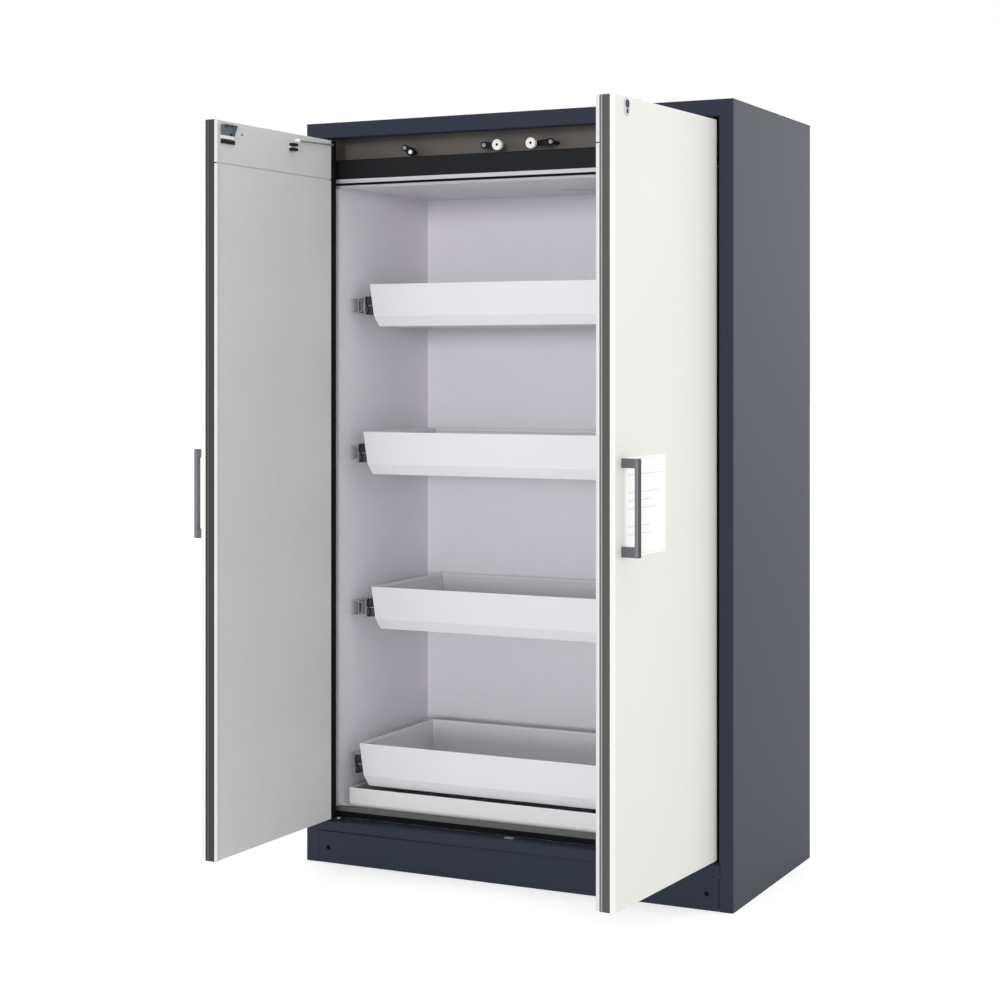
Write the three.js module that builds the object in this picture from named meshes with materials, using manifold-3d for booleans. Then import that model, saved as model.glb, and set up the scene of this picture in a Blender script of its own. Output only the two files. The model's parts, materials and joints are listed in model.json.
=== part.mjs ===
// Safety storage cabinet for hazardous liquids: two fire-resistant wing doors, four pull-out
// trays on telescopic rails and a bottom sump, on a transport base.
// Millimetres, +Z up. The origin is the middle of the carcass footprint, on the floor.
// The front faces -Y. The doors stand open and the trays are drawn out a little.

import * as THREE from 'three';
import { mergeVertices } from 'three/addons/utils/BufferGeometryUtils.js';
import Module from 'manifold-3d';

const wasm = await Module();
wasm.setup();

// Carcass of folded sheet
const width = 1193;
const depth = 615;
const height = 1953;
const sheet = 2;
const seatGap = 0.3;
const overrun = 5;
const sideBand = 36.5;
const backFlange = 20;
const roofBand = 41;
const roofReturn = 37.5;

// Fire boards
const sideBoard = 69.2;
const backBoard = 65.2;
const floorBoard = 27.7;
const ceilingBoard = 162.7;
const lintel = 68;

// Transport base with its plinth panel and feet
const sillTop = 113;
const deckSheet = 3;
const sillHeight = 28.5;
const skidSheet = 3;
const sideSkid = 54;
const centreSkid = 60;
const skidSetback = 20;
const plinthSide = 4;
const plinthLift = 2;
const plinthFlange = 12;
const plinthHole = 6;
const plinthHoleHeight = 40;
const plinthHoleInset = 27;
const footSide = 96.5;
const footEnd = 57.5;
const footRadius = 30;
const footPad = 12;
const footStem = 8;

// Doors
const doorProud = 6;
const doorThickness = 44;
const hingeGap = 13;
const seamHalf = 2;
const doorBottomGap = 7;
const doorTopGap = 7;
const shellSheet = 1.5;
const shellReturn = 13;
const liningThickness = 6.5;
const liningMargin = 22;
const liningEdge = 8;
const grooveDrop = 105;
const grooveWidth = 3;
const grooveDepth = 3;
const rightOpenDegrees = 86;
const leftOpenDegrees = 91.5;

// Pivot pins, between a boss on the sill and the return of the roof
const pivotInset = 11;
const pivotEdge = 6;
const pivotRadius = 3;
const bossRadius = 9;
const bossHeight = 6;
const bossFloor = 0.5;

// Handles and lock
const handleFromSeam = 29;
const handleWidth = 15;
const handleBar = 10;
const handleStand = 32;
const handleLength = 219;
const handleDrop = 12;
const handleFoot = 21;
const lockFromSeam = 56;
const lockDrop = 17;
const lockFlange = 15;
const lockFlangeHeight = 3;
const lockBarrel = 10;
const lockDepth = 25;
const keySlotWidth = 2;
const keySlotLength = 14;
const keySlotDepth = 1.5;

// Seal round the opening, and the header above it
const sealRest = 0.8;
const sealThickness = 6.4;
const sealInset = 2;
const sealWidth = 18;
const sealLift = 0.7;
const sealSill = 25;
const sealCrown = 10;
const apronRise = 19;
const headerReach = 20;
const headerDepth = 67;
const headerTopGap = 8;

// Stays on the doors: a ribbed bracket, a knob and a bar towards the hinge
const stayFromHinge = 174;
const stayWidth = 38;
const stayHeight = 19;
const stayDrop = 24;
const stayPlate = 3;
const stayRib = 6.5;
const stayDepth = 13;
const knobDrop = 17;
const knobRadius = 5;
const stayBar = 2.5;
const stayBarEnd = 27;

// Keepers on the doors, and the arms and rollers of the header
const keeperFromSeam = 19;
const keeperWidth = 74;
const keeperDepth = 24.7;
const keeperSheet = 1.5;
const keeperLift = 1.7;
const keeperDrop = 10;
const rollerGap = 2;
const rollerWidth = 12;
const rollerBore = 3.5;
const leftRollerPlace = 55;
const rightRollerPlace = 40;
const armGap = 0.7;
const armSheet = 6;
const armEye = 9;
const armTip = 6;
const armShaft = 5;
const catchReach = 47;
const catchRise = 3;
const wheelPlace = 306;
const wheelRadius = 10.5;
const wheelLift = 1.5;
const wheelArmReach = 29;
const wheelArmRise = 14;

// Trays, each given by its height between the lowest tray and the ceiling and by its pull
const trayGap = 4.2;
const traySetback = 84;
const trayBackGap = 8;
const trayHeight = 113.5;
const trayFold = 86;
const trayFoldIn = 10;
const trayFoldBack = 5;
const trayBottomIn = 20;
const trayBottomBack = 15;
const trayWall = 1.8;
const trayTravel = 340;
const trayHeightShares = [0.826, 0.559, 0.277, 0];
const trayPullShares = [0.041, 0.144, 0.018, 0.203];

// Telescopic rails
const railDrop = 57;
const railSheet = 2;
const railGap = 0.5;
const runnerReach = 20.5;
const runnerHeight = 52;
const runnerFlange = 14.5;
const runnerSetback = 6;
const middleRailWidth = 9.5;
const middleRailHeight = 32;
const middleRailAhead = 15;
const wallRailWidth = 23.7;
const wallRailHeight = 40;
const wallRailAhead = 18;

// Sump
const sumpSide = 30;
const sumpEnd = 5;
const sumpHeight = 51;
const sumpWall = 2;

// Exhaust spigot on the roof
const spigotRadius = 37.5;
const spigotWall = 2;
const spigotHeight = 32;
const spigotFlange = 55;
const spigotFromBack = 180;

// Facets of round pieces
const roundSides = 32;
const pinSides = 24;
const curveSteps = 12;

// Places worked out from the sizes above
const front = -depth / 2;
const back = depth / 2;
const sideOuter = width / 2;
const bandInner = sideOuter - sideBand;
const bandOuter = bandInner - seatGap;
const roofUnder = height - sheet;
const bandUnder = height - roofBand;
const doorFace = front - doorProud;
const doorInner = doorFace + doorThickness;
const sealFront = doorInner + sealRest;
const sealBack = sealFront + sealThickness;
const boardFront = sealBack + seatGap;
const boardBack = back - sheet - seatGap;
const boardOuter = sideOuter - sheet - seatGap;
const boardBottom = sillTop + seatGap;
const boardTop = roofUnder - seatGap;
const interiorHalf = boardOuter - sideBoard;
const interiorBack = boardBack - backBoard;
const floorTop = boardBottom + floorBoard;
const ceiling = boardTop - ceilingBoard;
const lintelTop = ceiling + lintel;
const deckBottom = sillTop - deckSheet;
const plinthTop = sillTop - sillHeight - seatGap;
const doorHinge = bandInner - hingeGap;
const doorBottom = sillTop + doorBottomGap;
const doorTop = bandUnder - doorTopGap;
const pivotX = doorHinge - pivotEdge;
const pivotY = doorFace + pivotInset;
const spigotY = back - spigotFromBack;
const sides = [
  { name: 'left', sign: -1, openDegrees: leftOpenDegrees, rollerPlace: leftRollerPlace },
  { name: 'right', sign: 1, openDegrees: rightOpenDegrees, rollerPlace: rightRollerPlace },
];

function paint(color, roughness, metalness) {
  return new THREE.MeshStandardMaterial({ color, roughness, metalness });
}
const anthracite = paint(0x2e3340, 0.55, 0.1);
const whitePaint = paint(0xeaebe6, 0.5, 0);
const lightBoard = paint(0xb9b8bc, 0.6, 0);
const doorGrey = paint(0xb2b3b2, 0.55, 0);
const darkEdge = paint(0x484848, 0.8, 0);
const trayPaint = paint(0xdededf, 0.45, 0.1);
const bareSteel = paint(0x8a8c90, 0.35, 0.9);
const darkSteel = paint(0x55585c, 0.4, 0.6);
const blackPlastic = paint(0x16181a, 0.85, 0);
const whitePlastic = paint(0xf2f2f0, 0.4, 0);

// A closed three.js geometry becomes a solid that can be joined and cut.
function solidOf(geometry) {
  const bare = geometry.clone();
  bare.deleteAttribute('normal');
  bare.deleteAttribute('uv');
  const merged = mergeVertices(bare);
  return new wasm.Manifold(new wasm.Mesh({
    numProp: 3,
    vertProperties: Float32Array.from(merged.attributes.position.array),
    triVerts: Uint32Array.from(merged.index.array),
  }));
}

// Every vertex goes exactly to the nearer one of two limits along an axis, so faces line up.
function between(geometry, axis, limits) {
  const index = 'xyz'.indexOf(axis);
  geometry.computeBoundingBox();
  const middle = geometry.boundingBox.getCenter(new THREE.Vector3()).getComponent(index);
  const { position } = geometry.attributes;
  for (let i = 0; i < position.count; i += 1) {
    const high = position.getComponent(i, index) > middle;
    position.setComponent(i, index, high ? Math.max(...limits) : Math.min(...limits));
  }
  return geometry;
}

// A box between three pairs of limits, given in any order.
function block(xs, ys, zs) {
  const unit = new THREE.BoxGeometry(1, 1, 1);
  return solidOf(between(between(between(unit, 'x', xs), 'y', ys), 'z', zs));
}

// A round bar along an axis through a centre, between two limits on that axis.
function rod(axis, centre, radius, limits, facets = roundSides) {
  const geometry = new THREE.CylinderGeometry(radius, radius, 1, facets);
  if (axis === 'x') geometry.rotateZ(Math.PI / 2);
  if (axis === 'z') geometry.rotateX(Math.PI / 2);
  return solidOf(between(geometry.translate(...centre), axis, limits));
}

// An outline drawn across an axis and carried along it: x,y points for z and x,z points for y,
// and y,z points for x.
function prism(axis, outline, limits) {
  const shape = Array.isArray(outline) ? new THREE.Shape(outline) : outline;
  const geometry = new THREE.ExtrudeGeometry(shape, {
    depth: 1, bevelEnabled: false, curveSegments: curveSteps,
  });
  if (axis !== 'z') geometry.rotateX(Math.PI / 2);
  if (axis === 'x') geometry.rotateZ(Math.PI / 2);
  return solidOf(between(geometry, axis, limits));
}

// The outline of a folded sheet: its corners, and the same corners moved to the left of the way.
function folded(corners, thickness) {
  const points = corners.map(([x, y]) => new THREE.Vector2(x, y));
  const normals = points.slice(1).map((point, i) => {
    const way = point.clone().sub(points[i]).normalize();
    return new THREE.Vector2(-way.y, way.x);
  });
  const moved = points.map((point, i) => {
    const before = normals[Math.max(i - 1, 0)];
    const after = normals[Math.min(i, normals.length - 1)];
    const mitre = before.clone().add(after).divideScalar(1 + before.dot(after));
    return point.clone().addScaledVector(mitre, thickness);
  });
  return [...points, ...moved.reverse()];
}

function join(...solids) {
  return solids.reduce((whole, solid) => whole.add(solid));
}

// A named mesh of a solid, moved by an offset so that a turned group can carry it.
function piece(name, solid, material, offset = [0, 0, 0]) {
  const { vertProperties, triVerts } = solid.getMesh();
  const geometry = new THREE.BufferGeometry();
  geometry.setAttribute('position', new THREE.Float32BufferAttribute(vertProperties, 3));
  geometry.setIndex(Array.from(triVerts));
  geometry.translate(...offset);
  geometry.computeVertexNormals();
  const mesh = new THREE.Mesh(geometry, material);
  mesh.name = name;
  return mesh;
}

// Side panels, one folded sheet each: return, front band, side and back flange.
function sidePanel({ name, sign }) {
  const corners = [
    [sign * bandInner, boardFront - seatGap],
    [sign * bandInner, front],
    [sign * sideOuter, front],
    [sign * sideOuter, back],
    [sign * (sideOuter - backFlange), back],
  ];
  return piece(`side_panel_${name}`, prism('z', folded(corners, sign * sheet), [0, boardTop]), anthracite);
}

// Roof: a lid over the side panels, with the front band and a return that takes the pivot pins.
function roofPanel() {
  const corners = [[front + roofReturn, bandUnder], [front, bandUnder], [front, height]];
  let solid = join(
    block([-sideOuter, sideOuter], [front, back], [roofUnder, height]),
    prism('x', folded(corners, -sheet), [-bandOuter, bandOuter]),
  );
  for (const { sign } of sides) {
    solid = solid.subtract(rod('z', [sign * pivotX, pivotY, 0], pivotRadius + seatGap,
      [bandUnder - overrun, bandUnder + sheet + overrun], pinSides));
  }
  const duct = rod('z', [0, spigotY, 0], spigotRadius - spigotWall, [roofUnder - overrun, height + overrun]);
  return piece('roof_panel', solid.subtract(duct), anthracite);
}

function backPanel() {
  const half = sideOuter - backFlange - seatGap;
  return piece('back_panel', block([-half, half], [back - sheet, back], [sillTop, boardTop]), anthracite);
}

// Transport base: deck with its front sill, two pivot bosses, and three skids that are open tubes.
function baseFrame() {
  const sill = [[front + sheet, plinthTop + seatGap], [front + sheet, sillTop]];
  let solid = join(
    block([-bandOuter, bandOuter], [front, boardFront], [deckBottom, sillTop]),
    block([-boardOuter, boardOuter], [boardFront, boardBack], [deckBottom, sillTop]),
    prism('x', folded(sill, sheet), [-bandOuter, bandOuter]),
  );
  const skids = [
    [-boardOuter, -boardOuter + sideSkid],
    [-centreSkid / 2, centreSkid / 2],
    [boardOuter - sideSkid, boardOuter],
  ];
  for (const [low, high] of skids) {
    const near = boardFront + skidSetback;
    const hollow = block([low + skidSheet, high - skidSheet], [near - overrun, boardBack + overrun],
      [skidSheet, deckBottom]);
    solid = solid.add(block([low, high], [near, boardBack], [0, deckBottom]).subtract(hollow));
  }
  for (const { sign } of sides) {
    const centre = [sign * pivotX, pivotY, 0];
    const boss = rod('z', centre, bossRadius, [sillTop - deckSheet / 2, sillTop + bossHeight]);
    const seat = rod('z', centre, pivotRadius + seatGap,
      [sillTop + bossFloor, sillTop + bossHeight + overrun], pinSides);
    solid = solid.add(boss).subtract(seat);
  }
  return piece('base_frame', solid, anthracite);
}

// Removable plinth panel, with a fixing hole near each end.
function plinthPanel() {
  const half = bandInner - plinthSide;
  const flangeBack = front + plinthFlange;
  const corners = [
    [flangeBack, plinthTop],
    [front, plinthTop],
    [front, plinthLift],
    [flangeBack, plinthLift],
  ];
  let solid = prism('x', folded(corners, sheet), [-half, half]);
  for (const { sign } of sides) {
    solid = solid.subtract(rod('y', [sign * (half - plinthHoleInset), 0, plinthHoleHeight],
      plinthHole, [front - overrun, front + sheet + overrun]));
  }
  return piece('plinth_panel', solid, anthracite);
}

// Levelling feet: a pad and a threaded stem under the deck.
function foot(name, x, y) {
  const solid = join(
    rod('z', [x, y, 0], footRadius, [0, footPad]),
    rod('z', [x, y, 0], footStem, [footPad / 2, deckBottom - seatGap]),
  );
  return piece(name, solid, blackPlastic);
}

function feet() {
  const x = sideOuter - footSide;
  const y = back - footEnd;
  return sides.flatMap(({ name, sign }) => [
    foot(`foot_front_${name}`, sign * x, -y),
    foot(`foot_rear_${name}`, sign * x, y),
  ]);
}

// Fire boards, with a recess above the lintel for the header and a duct through the ceiling.
function boards() {
  const inner = interiorHalf - seatGap;
  const innerBack = interiorBack - seatGap;
  const recessHalf = interiorHalf + headerReach;
  const recess = block([-recessHalf, recessHalf], [boardFront - overrun, boardFront + headerDepth],
    [lintelTop, boardTop + overrun]);
  const duct = rod('z', [0, spigotY, 0], spigotRadius - spigotWall, [ceiling - overrun, boardTop + overrun]);
  const full = [boardBottom, boardTop];
  return [
    ...sides.map(({ name, sign }) => piece(`board_${name}`,
      block([sign * interiorHalf, sign * boardOuter], [boardFront, boardBack], full).subtract(recess),
      lightBoard)),
    piece('board_back', block([-inner, inner], [interiorBack, boardBack], full), lightBoard),
    piece('board_floor',
      block([-inner, inner], [boardFront, innerBack], [boardBottom, floorTop]), lightBoard),
    piece('board_ceiling', block([-inner, inner], [boardFront, innerBack], [ceiling, boardTop])
      .subtract(recess).subtract(duct), lightBoard),
  ];
}

// Header plate, one folded sheet: apron over the lintel, shelf, and the plate that carries the arms.
const headerHalf = interiorHalf + headerReach - seatGap;
const headerShelf = lintelTop + seatGap + sheet;
const headerBack = boardFront + headerDepth - seatGap - sheet;

function headerPlate() {
  const apronFace = boardFront - seatGap - sheet;
  const corners = [
    [apronFace, ceiling + apronRise],
    [apronFace, headerShelf],
    [headerBack, headerShelf],
    [headerBack, boardTop - headerTopGap],
  ];
  return piece('header_plate', prism('x', folded(corners, -sheet), [-headerHalf, headerHalf]), bareSteel);
}

// Fire seal: a flat ring round the opening, which the closed doors lie against.
function openingSeal() {
  const inner = interiorHalf + sealInset;
  const outer = inner + sealWidth;
  const low = boardBottom + sealLift;
  const ring = block([-outer, outer], [sealFront, sealBack], [low, ceiling + sealCrown])
    .subtract(block([-inner, inner], [sealFront - overrun, sealBack + overrun], [low + sealSill, ceiling]));
  return piece('opening_seal', ring, blackPlastic);
}

// Header arms. Each is a flat link from a large eye to a small tip, with a shaft into the plate.
const keeperLow = headerShelf + keeperLift;
const keeperHigh = doorTop - keeperDrop;
const keeperBack = doorInner + seatGap + keeperDepth;
const armFront = keeperBack + armGap;
const rollerFront = doorInner + seatGap + keeperSheet + rollerGap;

function armSolid(eye, tip) {
  const along = Math.atan2(tip[1] - eye[1], tip[0] - eye[0]);
  const reach = Math.hypot(tip[0] - eye[0], tip[1] - eye[1]);
  const spread = Math.acos((armEye - armTip) / reach);
  const link = new THREE.Shape();
  link.absarc(...eye, armEye, along + spread, along - spread + 2 * Math.PI, false);
  link.absarc(...tip, armTip, along - spread, along + spread, false);
  const shaft = rod('y', [eye[0], 0, eye[1]], armShaft, [armFront + armSheet / 2, headerBack - seatGap]);
  return prism('y', link, [armFront, armFront + armSheet]).add(shaft);
}

// Catch arm and its white roller, which stands in the keeper of a closed door.
function catchPieces({ name, sign, rollerPlace }) {
  const radius = (keeperHigh - keeperLow) / 2 - keeperSheet - rollerGap;
  const tip = [sign * rollerPlace, (keeperLow + keeperHigh) / 2];
  const eye = [sign * (rollerPlace + catchReach), tip[1] + catchRise];
  const centre = [tip[0], 0, tip[1]];
  const span = [rollerFront, rollerFront + rollerWidth];
  const axle = rod('y', centre, rollerBore - seatGap, [rollerFront, armFront + armSheet / 2], pinSides);
  const bore = rod('y', centre, rollerBore, [span[0] - overrun, span[1] + overrun], pinSides);
  return [
    piece(`catch_arm_${name}`, armSolid(eye, tip).add(axle), blackPlastic),
    piece(`catch_roller_${name}`, rod('y', centre, radius, span).subtract(bore), whitePlastic),
  ];
}

// Closing-sequence arm with its wheel, nearer the hinge.
function sequenceArm({ name, sign }) {
  const tip = [sign * wheelPlace, headerShelf + wheelLift + wheelRadius];
  const eye = [sign * (wheelPlace + wheelArmReach), tip[1] + wheelArmRise];
  const centre = [tip[0], 0, tip[1]];
  const wheel = rod('y', centre, wheelRadius, [rollerFront, rollerFront + rollerWidth]);
  const axleSpan = [rollerFront + rollerWidth / 2, armFront + armSheet / 2];
  const axle = rod('y', centre, rollerBore, axleSpan, pinSides);
  return piece(`sequence_arm_${name}`, join(armSolid(eye, tip), wheel, axle), blackPlastic);
}

// Doors. Their pieces are worked out closed, and a group turns them about the pivot pin.
const lockX = seamHalf + lockFromSeam;
const lockZ = doorTop - lockDrop;

function lockBore() {
  const span = [doorFace - overrun, doorFace + lockDepth + seatGap];
  return rod('y', [lockX, 0, lockZ], lockBarrel + seatGap, span);
}

// White outer shell: a flat face with its four edges folded back.
function doorShell(sign) {
  const outer = block([sign * seamHalf, sign * doorHinge], [doorFace, doorFace + shellReturn],
    [doorBottom, doorTop]);
  const hollow = block([sign * (seamHalf + shellSheet), sign * (doorHinge - shellSheet)],
    [doorFace + shellSheet, doorFace + shellReturn + overrun],
    [doorBottom + shellSheet, doorTop - shellSheet]);
  const bore = rod('z', [sign * pivotX, pivotY, 0], pivotRadius + seatGap,
    [doorBottom - overrun, doorTop + overrun], pinSides);
  const shell = outer.subtract(hollow).subtract(bore);
  return sign > 0 ? shell.subtract(lockBore()) : shell;
}

// Dark fire core: it fills the shell and shows as the edge of the door behind it.
function doorCore(sign) {
  const inset = shellSheet + seatGap;
  const behind = doorFace + shellReturn + seatGap;
  const inner = block([sign * (seamHalf + inset), sign * (doorHinge - inset)],
    [doorFace + inset, behind], [doorBottom + inset, doorTop - inset]);
  const wide = block([sign * (seamHalf + seatGap), sign * (doorHinge - seatGap)],
    [behind, doorInner - liningThickness - seatGap], [doorBottom + seatGap, doorTop - seatGap]);
  const channelHalf = pivotRadius + seatGap;
  const channel = block([sign * (pivotX - channelHalf), sign * (doorHinge + overrun)],
    [doorFace, pivotY + channelHalf], [doorBottom - overrun, doorTop + overrun]);
  const body = inner.add(wide).subtract(channel);
  return sign > 0 ? body.subtract(lockBore()) : body;
}

// Light inner lining, with a groove across it near the top.
function doorLining(sign) {
  const low = sign * seamHalf;
  const high = sign * (doorHinge - liningMargin);
  const grooveZ = doorTop - grooveDrop;
  const panel = block([low, high], [doorInner - liningThickness, doorInner],
    [doorBottom + liningEdge, doorTop - liningEdge]);
  const groove = block([low - sign * overrun, high + sign * overrun],
    [doorInner - grooveDepth, doorInner + overrun], [grooveZ - grooveWidth / 2, grooveZ + grooveWidth / 2]);
  return panel.subtract(groove);
}

// Handle: a bar on two feet. The outline is drawn from the side and carried across the width.
function doorHandle(sign) {
  const near = seamHalf + handleFromSeam;
  const middle = (doorBottom + doorTop) / 2 - handleDrop;
  const low = middle - handleLength / 2;
  const high = middle + handleLength / 2;
  const root = doorFace - seatGap;
  const bar = block([sign * near, sign * (near + handleWidth)], [root, root - handleStand - handleBar],
    [low, high]);
  const fingers = block([sign * (near - overrun), sign * (near + handleWidth + overrun)],
    [root + overrun, root - handleStand], [low + handleFoot, high - handleFoot]);
  return bar.subtract(fingers);
}

// Keeper: a shallow steel box, open towards the inside, that a catch roller enters.
function doorKeeper(sign) {
  const near = doorInner + seatGap;
  const low = seamHalf + keeperFromSeam;
  const high = low + keeperWidth;
  const box = block([sign * low, sign * high], [near, keeperBack], [keeperLow, keeperHigh]);
  const hollow = block([sign * (low + keeperSheet), sign * (high - keeperSheet)],
    [near + keeperSheet, keeperBack + overrun], [keeperLow + keeperSheet, keeperHigh - keeperSheet]);
  return box.subtract(hollow);
}

// Stay: a bracket with an upper and a lower rib, and above it a knob with the bar that it carries.
function doorStay(sign) {
  const near = doorInner + seatGap;
  const high = doorHinge - stayFromHinge;
  const xs = [sign * (high - stayWidth), sign * high];
  const top = doorTop - stayDrop;
  const knob = [sign * (high - knobRadius), doorTop - knobDrop];
  const barY = near + stayDepth - knobRadius;
  return join(
    block(xs, [near, near + stayPlate], [top - stayHeight, top]),
    block(xs, [near, near + stayDepth], [top - stayRib, top]),
    block(xs, [near, near + stayDepth], [top - stayHeight, top - stayHeight + stayRib]),
    block([knob[0] - knobRadius, knob[0] + knobRadius], [near, near + stayPlate], [top - stayRib, knob[1]]),
    rod('y', [knob[0], 0, knob[1]], knobRadius, [near, near + stayDepth], pinSides),
    rod('x', [0, barY, knob[1]], stayBar, [knob[0], sign * (doorHinge - stayBarEnd)], pinSides),
  );
}

function pivotPin(sign) {
  return rod('z', [sign * pivotX, pivotY, 0], pivotRadius,
    [sillTop + bossFloor + seatGap, bandUnder + sheet], pinSides);
}

function lockCylinder() {
  const face = doorFace - seatGap;
  const slot = block([lockX - keySlotWidth / 2, lockX + keySlotWidth / 2],
    [face - lockFlangeHeight - overrun, face - lockFlangeHeight + keySlotDepth],
    [lockZ - keySlotLength / 2, lockZ + keySlotLength / 2]);
  return join(
    rod('y', [lockX, 0, lockZ], lockFlange, [face - lockFlangeHeight, face]),
    rod('y', [lockX, 0, lockZ], lockBarrel, [face - lockFlangeHeight / 2, doorFace + lockDepth]),
  ).subtract(slot);
}

function door({ name, sign, openDegrees }) {
  const offset = [-sign * pivotX, -pivotY, 0];
  const group = new THREE.Group();
  group.position.set(sign * pivotX, pivotY, 0);
  group.rotation.z = sign * THREE.MathUtils.degToRad(openDegrees);
  group.add(
    piece(`door_shell_${name}`, doorShell(sign), whitePaint, offset),
    piece(`door_core_${name}`, doorCore(sign), darkEdge, offset),
    piece(`door_lining_${name}`, doorLining(sign), doorGrey, offset),
    piece(`door_handle_${name}`, doorHandle(sign), darkSteel, offset),
    piece(`door_keeper_${name}`, doorKeeper(sign), bareSteel, offset),
    piece(`door_stay_${name}`, doorStay(sign), blackPlastic, offset),
    piece(`pivot_pin_${name}`, pivotPin(sign), bareSteel, offset),
  );
  if (sign > 0) group.add(piece('lock_cylinder', lockCylinder(), bareSteel, offset));
  return group;
}

// Rails and trays, seen from above: wall rail, middle rail, runner and pan, from the side inwards.
const wallRailInner = interiorHalf - seatGap - wallRailWidth;
const middleRailOuter = wallRailInner - railGap;
const middleRailInner = middleRailOuter - middleRailWidth;
const runnerOuter = middleRailInner - railGap;
const trayHalf = runnerOuter - runnerReach;
const trayFront = boardFront + traySetback;
const trayBack = interiorBack - trayBackGap;
const sumpLow = floorTop + seatGap;
const lowestTray = sumpLow + sumpHeight + trayGap + trayHeight;

// The closed shell between two stacks of rectangles: outside going down, inside coming back up.
function pan(outside, inside) {
  const rings = [...outside, ...[...inside].reverse()];
  const points = rings.flatMap(({ half, near, far, z }) => [
    -half, near, z, half, near, z, half, far, z, -half, far, z,
  ]);
  const cornerCount = 4;
  const faces = [];
  const quad = (a, b, c, d) => faces.push(a, b, c, a, c, d);
  const walls = rings.map((ring, i) => i).filter((i) => i !== outside.length - 1);
  for (const ring of walls) {
    const here = ring * cornerCount;
    const next = ((ring + 1) % rings.length) * cornerCount;
    for (let i = 0; i < cornerCount; i += 1) {
      const j = (i + 1) % cornerCount;
      quad(here + i, next + i, next + j, here + j);
    }
  }
  const under = (outside.length - 1) * cornerCount;
  const bottom = outside.length * cornerCount;
  quad(under, under + 3, under + 2, under + 1);
  quad(bottom, bottom + 1, bottom + 2, bottom + 3);
  const geometry = new THREE.BufferGeometry();
  geometry.setAttribute('position', new THREE.Float32BufferAttribute(points, 3));
  geometry.setIndex(faces);
  return solidOf(geometry);
}

// The pan of a closed tray: its walls lean in to a fold, and further in to the bottom.
function trayPan(top) {
  const ring = (z, sideIn, endIn) => ({
    half: trayHalf - sideIn, near: trayFront + endIn, far: trayBack - endIn, z: top - z,
  });
  const levels = [
    [0, 0, 0],
    [trayFold, trayFoldIn, trayFoldBack],
    [trayHeight, trayBottomIn, trayBottomBack],
  ];
  const outside = levels.map(([z, sideIn, endIn]) => ring(z, sideIn, endIn));
  const inside = levels.map(([z, sideIn, endIn]) => (
    ring(Math.min(z, trayHeight - trayWall), sideIn + trayWall, endIn + trayWall)));
  return pan(outside, inside);
}

// A runner has a web and three flanges, and the middle flange reaches the pan's wall.
function runner(sign, top) {
  const middle = top - railDrop;
  const edge = (runnerHeight - railSheet) / 2;
  const lean = trayFoldIn * railDrop / trayFold;
  const ys = [trayFront + runnerSetback, trayBack - runnerSetback];
  const flange = (reach, z) => block([sign * runnerOuter, sign * (runnerOuter - reach)], ys,
    [z - railSheet / 2, z + railSheet / 2]);
  return join(
    block([sign * runnerOuter, sign * (runnerOuter - railSheet)], ys,
      [middle - runnerHeight / 2, middle + runnerHeight / 2]),
    flange(runnerFlange, middle + edge),
    flange(runnerReach + lean + trayWall / 2, middle),
    flange(runnerFlange, middle - edge),
  );
}

// A channel rail along y, with its open side towards the cabinet wall.
function channelRail(sign, inner, outer, middle, tall, ys) {
  const low = middle - tall / 2;
  const high = middle + tall / 2;
  const corners = [[sign * outer, low], [sign * inner, low], [sign * inner, high], [sign * outer, high]];
  return prism('y', folded(corners, -sign * railSheet), ys);
}

// One tray with its rails. The tray is drawn out by its pull, and the middle rails by half of it.
function trayPieces(heightShare, index) {
  const number = index + 1;
  const top = lowestTray + heightShare * (ceiling - lowestTray);
  const middle = top - railDrop;
  const pulled = new THREE.Group();
  const halfPulled = new THREE.Group();
  pulled.position.y = -trayPullShares[index] * trayTravel;
  halfPulled.position.y = pulled.position.y / 2;
  const whole = new THREE.Group();
  whole.add(pulled, halfPulled);
  const solid = join(trayPan(top), ...sides.map(({ sign }) => runner(sign, top)));
  pulled.add(piece(`tray_${number}`, solid, trayPaint));
  for (const { name, sign } of sides) {
    const moving = channelRail(sign, middleRailInner, middleRailOuter, middle, middleRailHeight,
      [trayFront - middleRailAhead, trayBack]);
    const fixed = channelRail(sign, wallRailInner, interiorHalf - seatGap, middle, wallRailHeight,
      [trayFront - wallRailAhead, trayBack]);
    halfPulled.add(piece(`middle_rail_${number}_${name}`, moving, bareSteel));
    whole.add(piece(`wall_rail_${number}_${name}`, fixed, bareSteel));
  }
  return whole;
}

// Sump: a flat pan on the floor board.
const sumpHalf = interiorHalf - sumpSide;
const sumpFront = boardFront + sumpEnd;
const sumpBack = interiorBack - sumpEnd;

function sumpTray() {
  const outer = block([-sumpHalf, sumpHalf], [sumpFront, sumpBack], [sumpLow, sumpLow + sumpHeight]);
  const hollow = block([-sumpHalf + sumpWall, sumpHalf - sumpWall],
    [sumpFront + sumpWall, sumpBack - sumpWall], [sumpLow + sumpWall, sumpLow + sumpHeight + overrun]);
  return piece('sump_tray', outer.subtract(hollow), trayPaint);
}

// Exhaust spigot on the roof, with its flange.
function exhaustSpigot() {
  const base = height + seatGap;
  const centre = [0, spigotY, 0];
  const solid = join(
    rod('z', centre, spigotFlange, [base, base + sheet]),
    rod('z', centre, spigotRadius, [base, base + spigotHeight]),
  ).subtract(rod('z', centre, spigotRadius - spigotWall, [base - overrun, base + spigotHeight + overrun]));
  return piece('exhaust_spigot', solid, bareSteel);
}

const cabinet = new THREE.Group();
cabinet.add(
  ...sides.map(sidePanel),
  roofPanel(),
  backPanel(),
  baseFrame(),
  plinthPanel(),
  ...feet(),
  ...boards(),
  headerPlate(),
  openingSeal(),
  ...sides.flatMap(catchPieces),
  ...sides.map(sequenceArm),
  ...sides.map(door),
  ...trayHeightShares.map(trayPieces),
  sumpTray(),
  exhaustSpigot(),
);

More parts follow.
